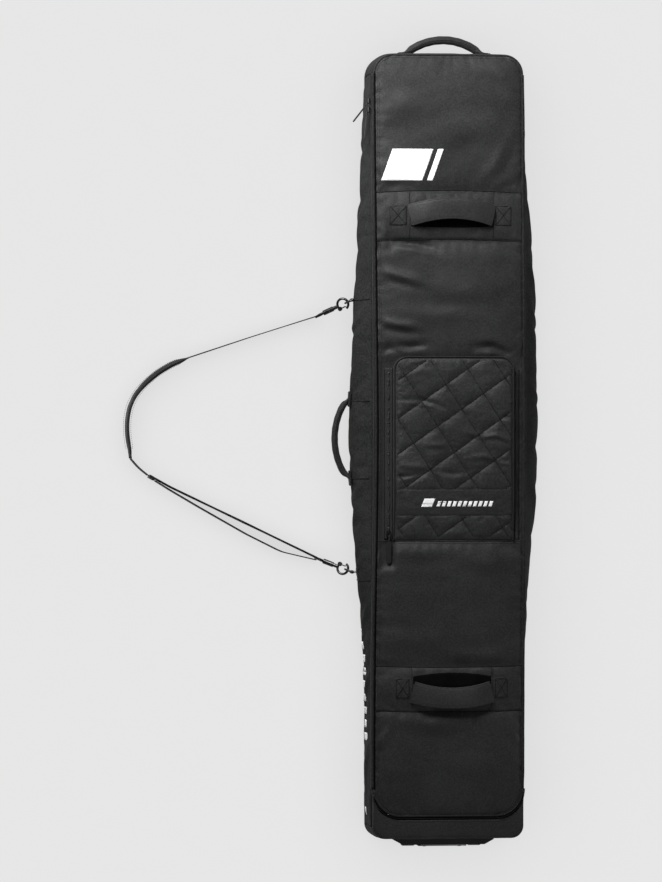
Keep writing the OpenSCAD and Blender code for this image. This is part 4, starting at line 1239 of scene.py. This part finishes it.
piece("right_hinge_piping", cord(cols(piping_x, piping_y, 132.0), 1.7), "trim_fabric", "bag",
      ["right_piping"])

# ---------------------------------------------------------------- rolled carry handles
def rolled_handle(where, ends, apex, wall, d, feet_at=(22, 14, 7), grown=(8, 34)):
    """A padded roll that bows out from the bag, with flattened ends sewn to it.

    feet_at places the flat ends along the wall, and grown says how far from them the roll reaches its thickness.
    """
    name, node = f"{where}_carry_handle", f"{where}_handle"
    ends, apex, wall = (np.asarray(v, float) for v in (ends, apex, wall))
    mid, half = ends.mean(0), np.linalg.norm(ends[1] - ends[0]) / 2
    along, rise = unit(ends[1] - ends[0]), apex - ends.mean(0)
    s = np.linspace(-1, 1, 41)
    r = (half**2 + np.dot(rise, rise)) / (2 * np.linalg.norm(rise))
    lift = np.sqrt(r * r - (half * s) ** 2) - (r - np.linalg.norm(rise))
    arc = mid + along * half * s[:, None] + unit(rise) * lift[:, None]
    feet = [np.array([w + along * side * k for k in feet_at]) for w, side in zip(wall, (-1, 1))]
    path = rounded(np.vstack([feet[0], arc, feet[1][::-1]]), 4)
    run = travelled(path)
    near = np.minimum(run, run[-1] - run)
    grow = ramp(*grown, near)
    seam = 1 + 0.03 * np.sin(run / 3.5) * grow
    thick, wide = (0.22 + 0.78 * grow) * seam, (1.35 - 0.35 * grow) * seam
    section = circle(d / 2, 20)
    section[:, 1] *= 1 - 0.10 * (np.abs(section[:, 0]) < 1.5)
    obj = piece(name, sweep(path, UP, section, cols(wide, thick)), "handle_fabric", None, [node], subsurf=1)
    blended(obj)
    seam_path = path + np.array([0, 0, d / 2]) * (wide * 0.98)[:, None]
    ridge = piece(f"{name}_seam", cord(seam_path[near > 30], 0.9), "trim_fabric", None)
    blended(ridge)


nose_wall = HALF_L + NOSE_SWELL + 1.6
rolled_handle("nose", [(-72.5, 851.9, 75), (72.5, 851.9, 75)], (0, 874.9, 75),
              [(-76, nose_wall, 75), (76, nose_wall, 75)], 19)


def left_face(y):
    """Where the left wall's outer face is, at the height of the strap and the side handle."""
    return -HALF_W - float(bulge_at(y, SIDE_Z)) - 2.2


side_ends = [(-214.4, SIDE_GRIP_Y + s * 74.5, SIDE_Z) for s in (-1, 1)]
side_feet = [(left_face(SIDE_GRIP_Y + s * 78), SIDE_GRIP_Y + s * 78, SIDE_Z) for s in (-1, 1)]
rolled_handle("side", side_ends, (-234.4, SIDE_GRIP_Y, SIDE_Z), side_feet, 15,
              feet_at=(9, 6, 3), grown=(1, 16))


def sewn_patch(points_u, points_v, place):
    """A square of webbing on a wall. place(u, v, lift) gives its points."""
    U, V = net(points_u, points_v)
    edge = np.minimum(np.minimum(U - U.min(), U.max() - U), np.minimum(V - V.min(), V.max() - V))
    return thicken(grid(place(U, V, 0.6 + 1.2 * edge_roll(edge, 3))), 1.0)


def patch_ring(u, v):
    """Stitch line round a patch and once across it."""
    a, b, c, d = u[1], u[-2], v[1], v[-2]
    return resample([(a, c), (b, c), (b, d), (a, d), (a, c), (b, d)], 3)


nose_patches, side_patches = [], []
for s in (-1, 1):
    u, v = np.linspace(s * 84 - 19, s * 84 + 19, 12), np.linspace(59, 91, 11)
    nose_patches.append(sewn_patch(u[::-1], v, lambda U, V, t: cols(U, HALF_L + NOSE_SWELL - 0.2 + t, V)))
    ring = patch_ring(u, v)
    stitch("bag", cols(ring[:, 0], HALF_L + NOSE_SWELL + 1.8, ring[:, 1]), pitch=3.4, length=2.4)
    yc = SIDE_GRIP_Y + s * 85
    u, v = np.linspace(yc - 17, yc + 17, 12), np.linspace(46, 78, 11)
    side_patches.append(sewn_patch(u[::-1], v, lambda U, V, t: cols(-HALF_W - bulge_at(U, V) - 1.4 - t, U, V)))
    ring = patch_ring(u, v)
    ring_x = -HALF_W - bulge_at(ring[:, 0], ring[:, 1]) - 3.4
    stitch("bag", cols(ring_x, ring[:, 0], ring[:, 1]), pitch=3.4, length=2.4)
piece("nose_handle_patch_pair", join(nose_patches), "webbing", "bag", ["nose_handle_patches"], subsurf=1)
piece("side_handle_patch_pair", join(side_patches), "webbing", "bag", ["side_handle_patches"], subsurf=1)

# ---------------------------------------------------------------- shoulder strap
tabs = []
for y in ANCHOR_YS:
    a = np.linspace(-2.2, 2.2, 13)
    loop = cols(RING_X - 3.0 * np.cos(a), y + 3.0 * np.sin(a), 0 * a + SIDE_Z)
    face = -HALF_W - float(bulge_at(y, SIDE_Z)) + 1.0
    tongue = np.array([(face, y - 1.3, SIDE_Z), (face - 4, y - 1.4, SIDE_Z), (RING_X + 4.5, y - 1.5, SIDE_Z)])
    tabs.append(sweep(np.vstack([tongue, loop, tongue[::-1] * [1, -1, 1] + [0, 2 * y, 0]]), UP, flat(21, 1.3)))
    u, v = np.linspace(y - 10, y + 10, 9), np.linspace(SIDE_Z - 15, SIDE_Z + 15, 9)
    tabs.append(sewn_patch(u[::-1], v, lambda U, V, t: cols(-HALF_W - bulge_at(U, V) - 0.9 - t, U, V)))
piece("strap_anchor_tabs", join(tabs), "webbing", "bag", ["anchor_tabs"])

WEB_W, PAD_W, PAD_T = 38.0, 52.0, 13.0
LONG_START = [(-269.5, 280.5), (-410, 236), (-547, 190.6)]
PAD_ROUTE = [(-548, 190), (-584, 176), (-614, 158), (-641, 135), (-662, 110), (-674, 84), (-679, 56),
             (-679, 28), (-671, -26)]
PAD_TAIL = [(-670.5, -27), (-654, -46), (-634, -62)]
DOUBLED_NEAR = [(-618, -69), (-586, -87), (-440, -157), (-269, -239.5)]
DOUBLED_FAR = [(-618, -74), (-586, -94), (-523, -131), (-421, -189), (-345, -227), (-270.5, -244.5)]


def standing(points, width, seed):
    """A strap that stands on its edge on the floor and leans a little this way and that."""
    p = rounded(points, 5.0)
    n = len(p)
    tilt = 0.02 * rough(np.arange(n) * 5.0 / 70, 0.3, seed) * np.sin(np.pi * np.linspace(0, 1, n)) ** 0.5
    tangent = unit(np.gradient(p, axis=0))
    side = cols(-tangent[:, 1], tangent[:, 0])
    across = np.c_[side * np.sin(tilt)[:, None], np.cos(tilt)]
    return np.c_[p, np.full(n, width / 2 + 0.3)], across


strap_bits = []
for k, route in enumerate((LONG_START, PAD_TAIL)):
    path, across = standing(route, WEB_W, 101 + k)
    strap_bits.append(sweep(path, across, flat(WEB_W, 2.0, 9)))
piece("shoulder_webbing_long", join(strap_bits), "webbing", "shoulder_strap", ["long_webbing"])
doubled = []
for route, seed, thick in ((DOUBLED_NEAR, 105, 3.4), (DOUBLED_FAR, 106, 2.4)):
    path, across = standing(route, WEB_W, seed)
    doubled.append(sweep(path, across, flat(WEB_W, thick, 9)))
piece("shoulder_webbing_doubled", join(doubled), "webbing", "shoulder_strap", ["doubled_webbing"])

pad_path, pad_across = standing(PAD_ROUTE, PAD_W, 107)
t = np.linspace(0, 1, len(pad_path))
taper = ramp(0, 0.10, t) * ramp(0, 0.10, 1 - t)
pad_width = (0.74 + 0.26 * taper) * PAD_W
pad_path[:, 2] = pad_width / 2 + 0.3
channels = 1 - 0.10 * (np.abs((t * 9) % 1 - 0.5) > 0.45)
channels *= 1 - 0.35 * ramp(0.3, 0.6, t)
pad_scale = cols(pad_width, (0.25 + 0.75 * taper) * channels)
pad_section = flat(1.0, 0.2, 11)
roundness = np.sqrt(np.clip(1 - (2 * pad_section[:, 0]) ** 2, 0, 1))
pad_section[:, 1] = pad_section[:, 1] / 0.1 * (PAD_T / 2 - 0.6) * (0.55 + 0.45 * roundness)
piece("shoulder_pad_padded", sweep(pad_path, pad_across, pad_section, pad_scale), "trim_fabric",
      "shoulder_strap", ["shoulder_pad"], subsurf=1)
pad_normal = np.cross(unit(np.gradient(pad_path, axis=0)), pad_across)
rims = []
for s in (-1, 1):
    rims.append(sweep(pad_path + pad_across * (s * (pad_width / 2 - 1.2))[:, None], (1, 0, 0), circle(1.6, 8)))
    for face in (-1, 1):
        line = pad_path + pad_across * (s * (pad_width / 2 - 6))[:, None]
        line += pad_normal * (face * (PAD_T / 2 * taper * 0.86 + 0.5))[:, None]
        stitch("shoulder_strap", line[4:-4])
piece("shoulder_pad_binding", join(rims), "trim_fabric", "shoulder_strap")

# ---------------------------------------------------------------- inside straps
inner = []
for y in TIE_YS:
    for x0, x1 in ((24.0, 156.5), (-156.5, -24.0)):
        x = np.linspace(x0, x1, 30)
        z = 12.2 + 1.2 * np.abs(rough(x / 30, y / 9, 111))
        inner.append(sweep(cols(x, y, z), (0, 1, 0), flat(25, 1.5)))
piece("inner_tie_straps", join(inner), "webbing", "bag", ["inner_straps"])


# ---------------------------------------------------------------- plain printed marks
def printed(surface, outline, lift=0.35, step=3.0):
    """A thin print laid on a surface, in slices across a convex outline."""
    outline = np.asarray(outline, float)
    closed = np.vstack([outline, outline[:1]])
    ys = np.linspace(outline[:, 1].min() + 0.01, outline[:, 1].max() - 0.01,
                     max(3, int(np.ptp(outline[:, 1]) / step)))
    rows = []
    for y in ys:
        hits = []
        for (x0, y0), (x1, y1) in zip(closed[:-1], closed[1:]):
            if (y0 - y) * (y1 - y) <= 0 and y0 != y1:
                hits.append(x0 + (x1 - x0) * (y - y0) / (y1 - y0))
        rows.append(np.linspace(min(hits), max(hits), max(4, int(np.ptp(outline[:, 0]) / step))))
    px = np.array(rows).T
    py = np.broadcast_to(ys, px.shape)
    return thicken(grid(cols(px, py, surface.z(px, py) + lift)), 0.3)


def slab(x0, x1, y0, y1, slant):
    """A bar whose ends lean by slant."""
    return [(x0, y0), (x1, y0), (x1 + slant, y1), (x0 + slant, y1)]


big_mark = [printed(lid_top, slab(-146, -58, 568, 636, 24)), printed(lid_top, slab(-48, -36, 568, 636, 24))]
piece("lid_plain_mark", join(big_mark), "print", "lid")
ticks = [printed(band_top, slab(-61, -38, -129.5, -111.5, 7), lift=0.9, step=1.5)]
for k in range(11):
    x = -28 + k * 11.2
    ticks.append(printed(band_top, slab(x, x + 7.0, -128.5, -117.0, 4), lift=0.9, step=1.5))
piece("band_plain_mark", join(ticks), "print", "lid")


def side_mark(y0, y1, z0, z1):
    """A bar printed on the left gusset."""
    U, V = net(np.linspace(y1, y0, max(4, int((y1 - y0) / 3))), np.linspace(z0, z1, 14))
    hits = np.zeros(U.shape)
    for i in np.ndindex(U.shape):
        hit = side_tree.ray_cast(Vector((-400, U[i], V[i])), Vector((1, 0, 0)))[0]
        hits[i] = hit.x if hit is not None else -HALF_W
    return thicken(grid(cols(hits - 0.35, U, V)), 0.3)


side_tree = BVHTree.FromPolygons(left_shape[0].tolist(), left_shape[1].tolist())
marks = []
for k in range(9):
    y = -392 - k * 28.0
    marks.append(side_mark(y - 16, y, 40, 74))
marks.append(side_mark(-793, -776, 40, 60))
piece("side_plain_mark", join(marks), "print", "bag")

# ---------------------------------------------------------------- stitching, gathered by body
sew("lid_stitching", "lid")
sew("bag_stitching", "bag")
sew("shoulder_pad_stitching", "shoulder_strap")

# ---------------------------------------------------------------- hard parts keep their CAD shape
HARD = {
    # The kick bar's look is its own black and painted shade.
    "black_and_painted_shade": ["kick_bar"],
    "moulded_plastic": ["wheel_base", "left_hub", "right_hub", "inner_buckles", "strap_adjuster",
                        "upper_pull", "lower_pull", "pocket_pull"],
    "tyre": ["left_tyre", "right_tyre"],
    "steel": ["kick_bar_screws", "wheel_axles", "left_bearings", "right_bearings"],
    "dark_metal": ["anchor_rings", "snap_hooks", "hook_swivels", "upper_gate", "lower_gate",
                   "upper_slider", "lower_slider", "pocket_slider"],
}
BEVEL_MM = {"wheel_base": 2.0, "kick_bar": 1.2, "inner_buckles": 0.9, "strap_adjuster": 0.7, "hook_swivels": 0.6,
            **dict.fromkeys(("upper_pull", "lower_pull", "pocket_pull"), 0.6),
            **dict.fromkeys(("upper_slider", "lower_slider", "pocket_slider"), 0.5),
            **dict.fromkeys(("left_hub", "right_hub"), 0.4)}
for look, names in HARD.items():
    for name in names:
        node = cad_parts[name]
        node.data.materials.clear()
        node.data.materials.append(LOOKS[look])
        if name in BEVEL_MM:
            bevel = node.modifiers.new("edge", "BEVEL")
            bevel.width = BEVEL_MM[name] * MM
            bevel.segments = 3
            bevel.limit_method = "ANGLE"
            bevel.angle_limit = math.radians(35)
            bevel.harden_normals = False
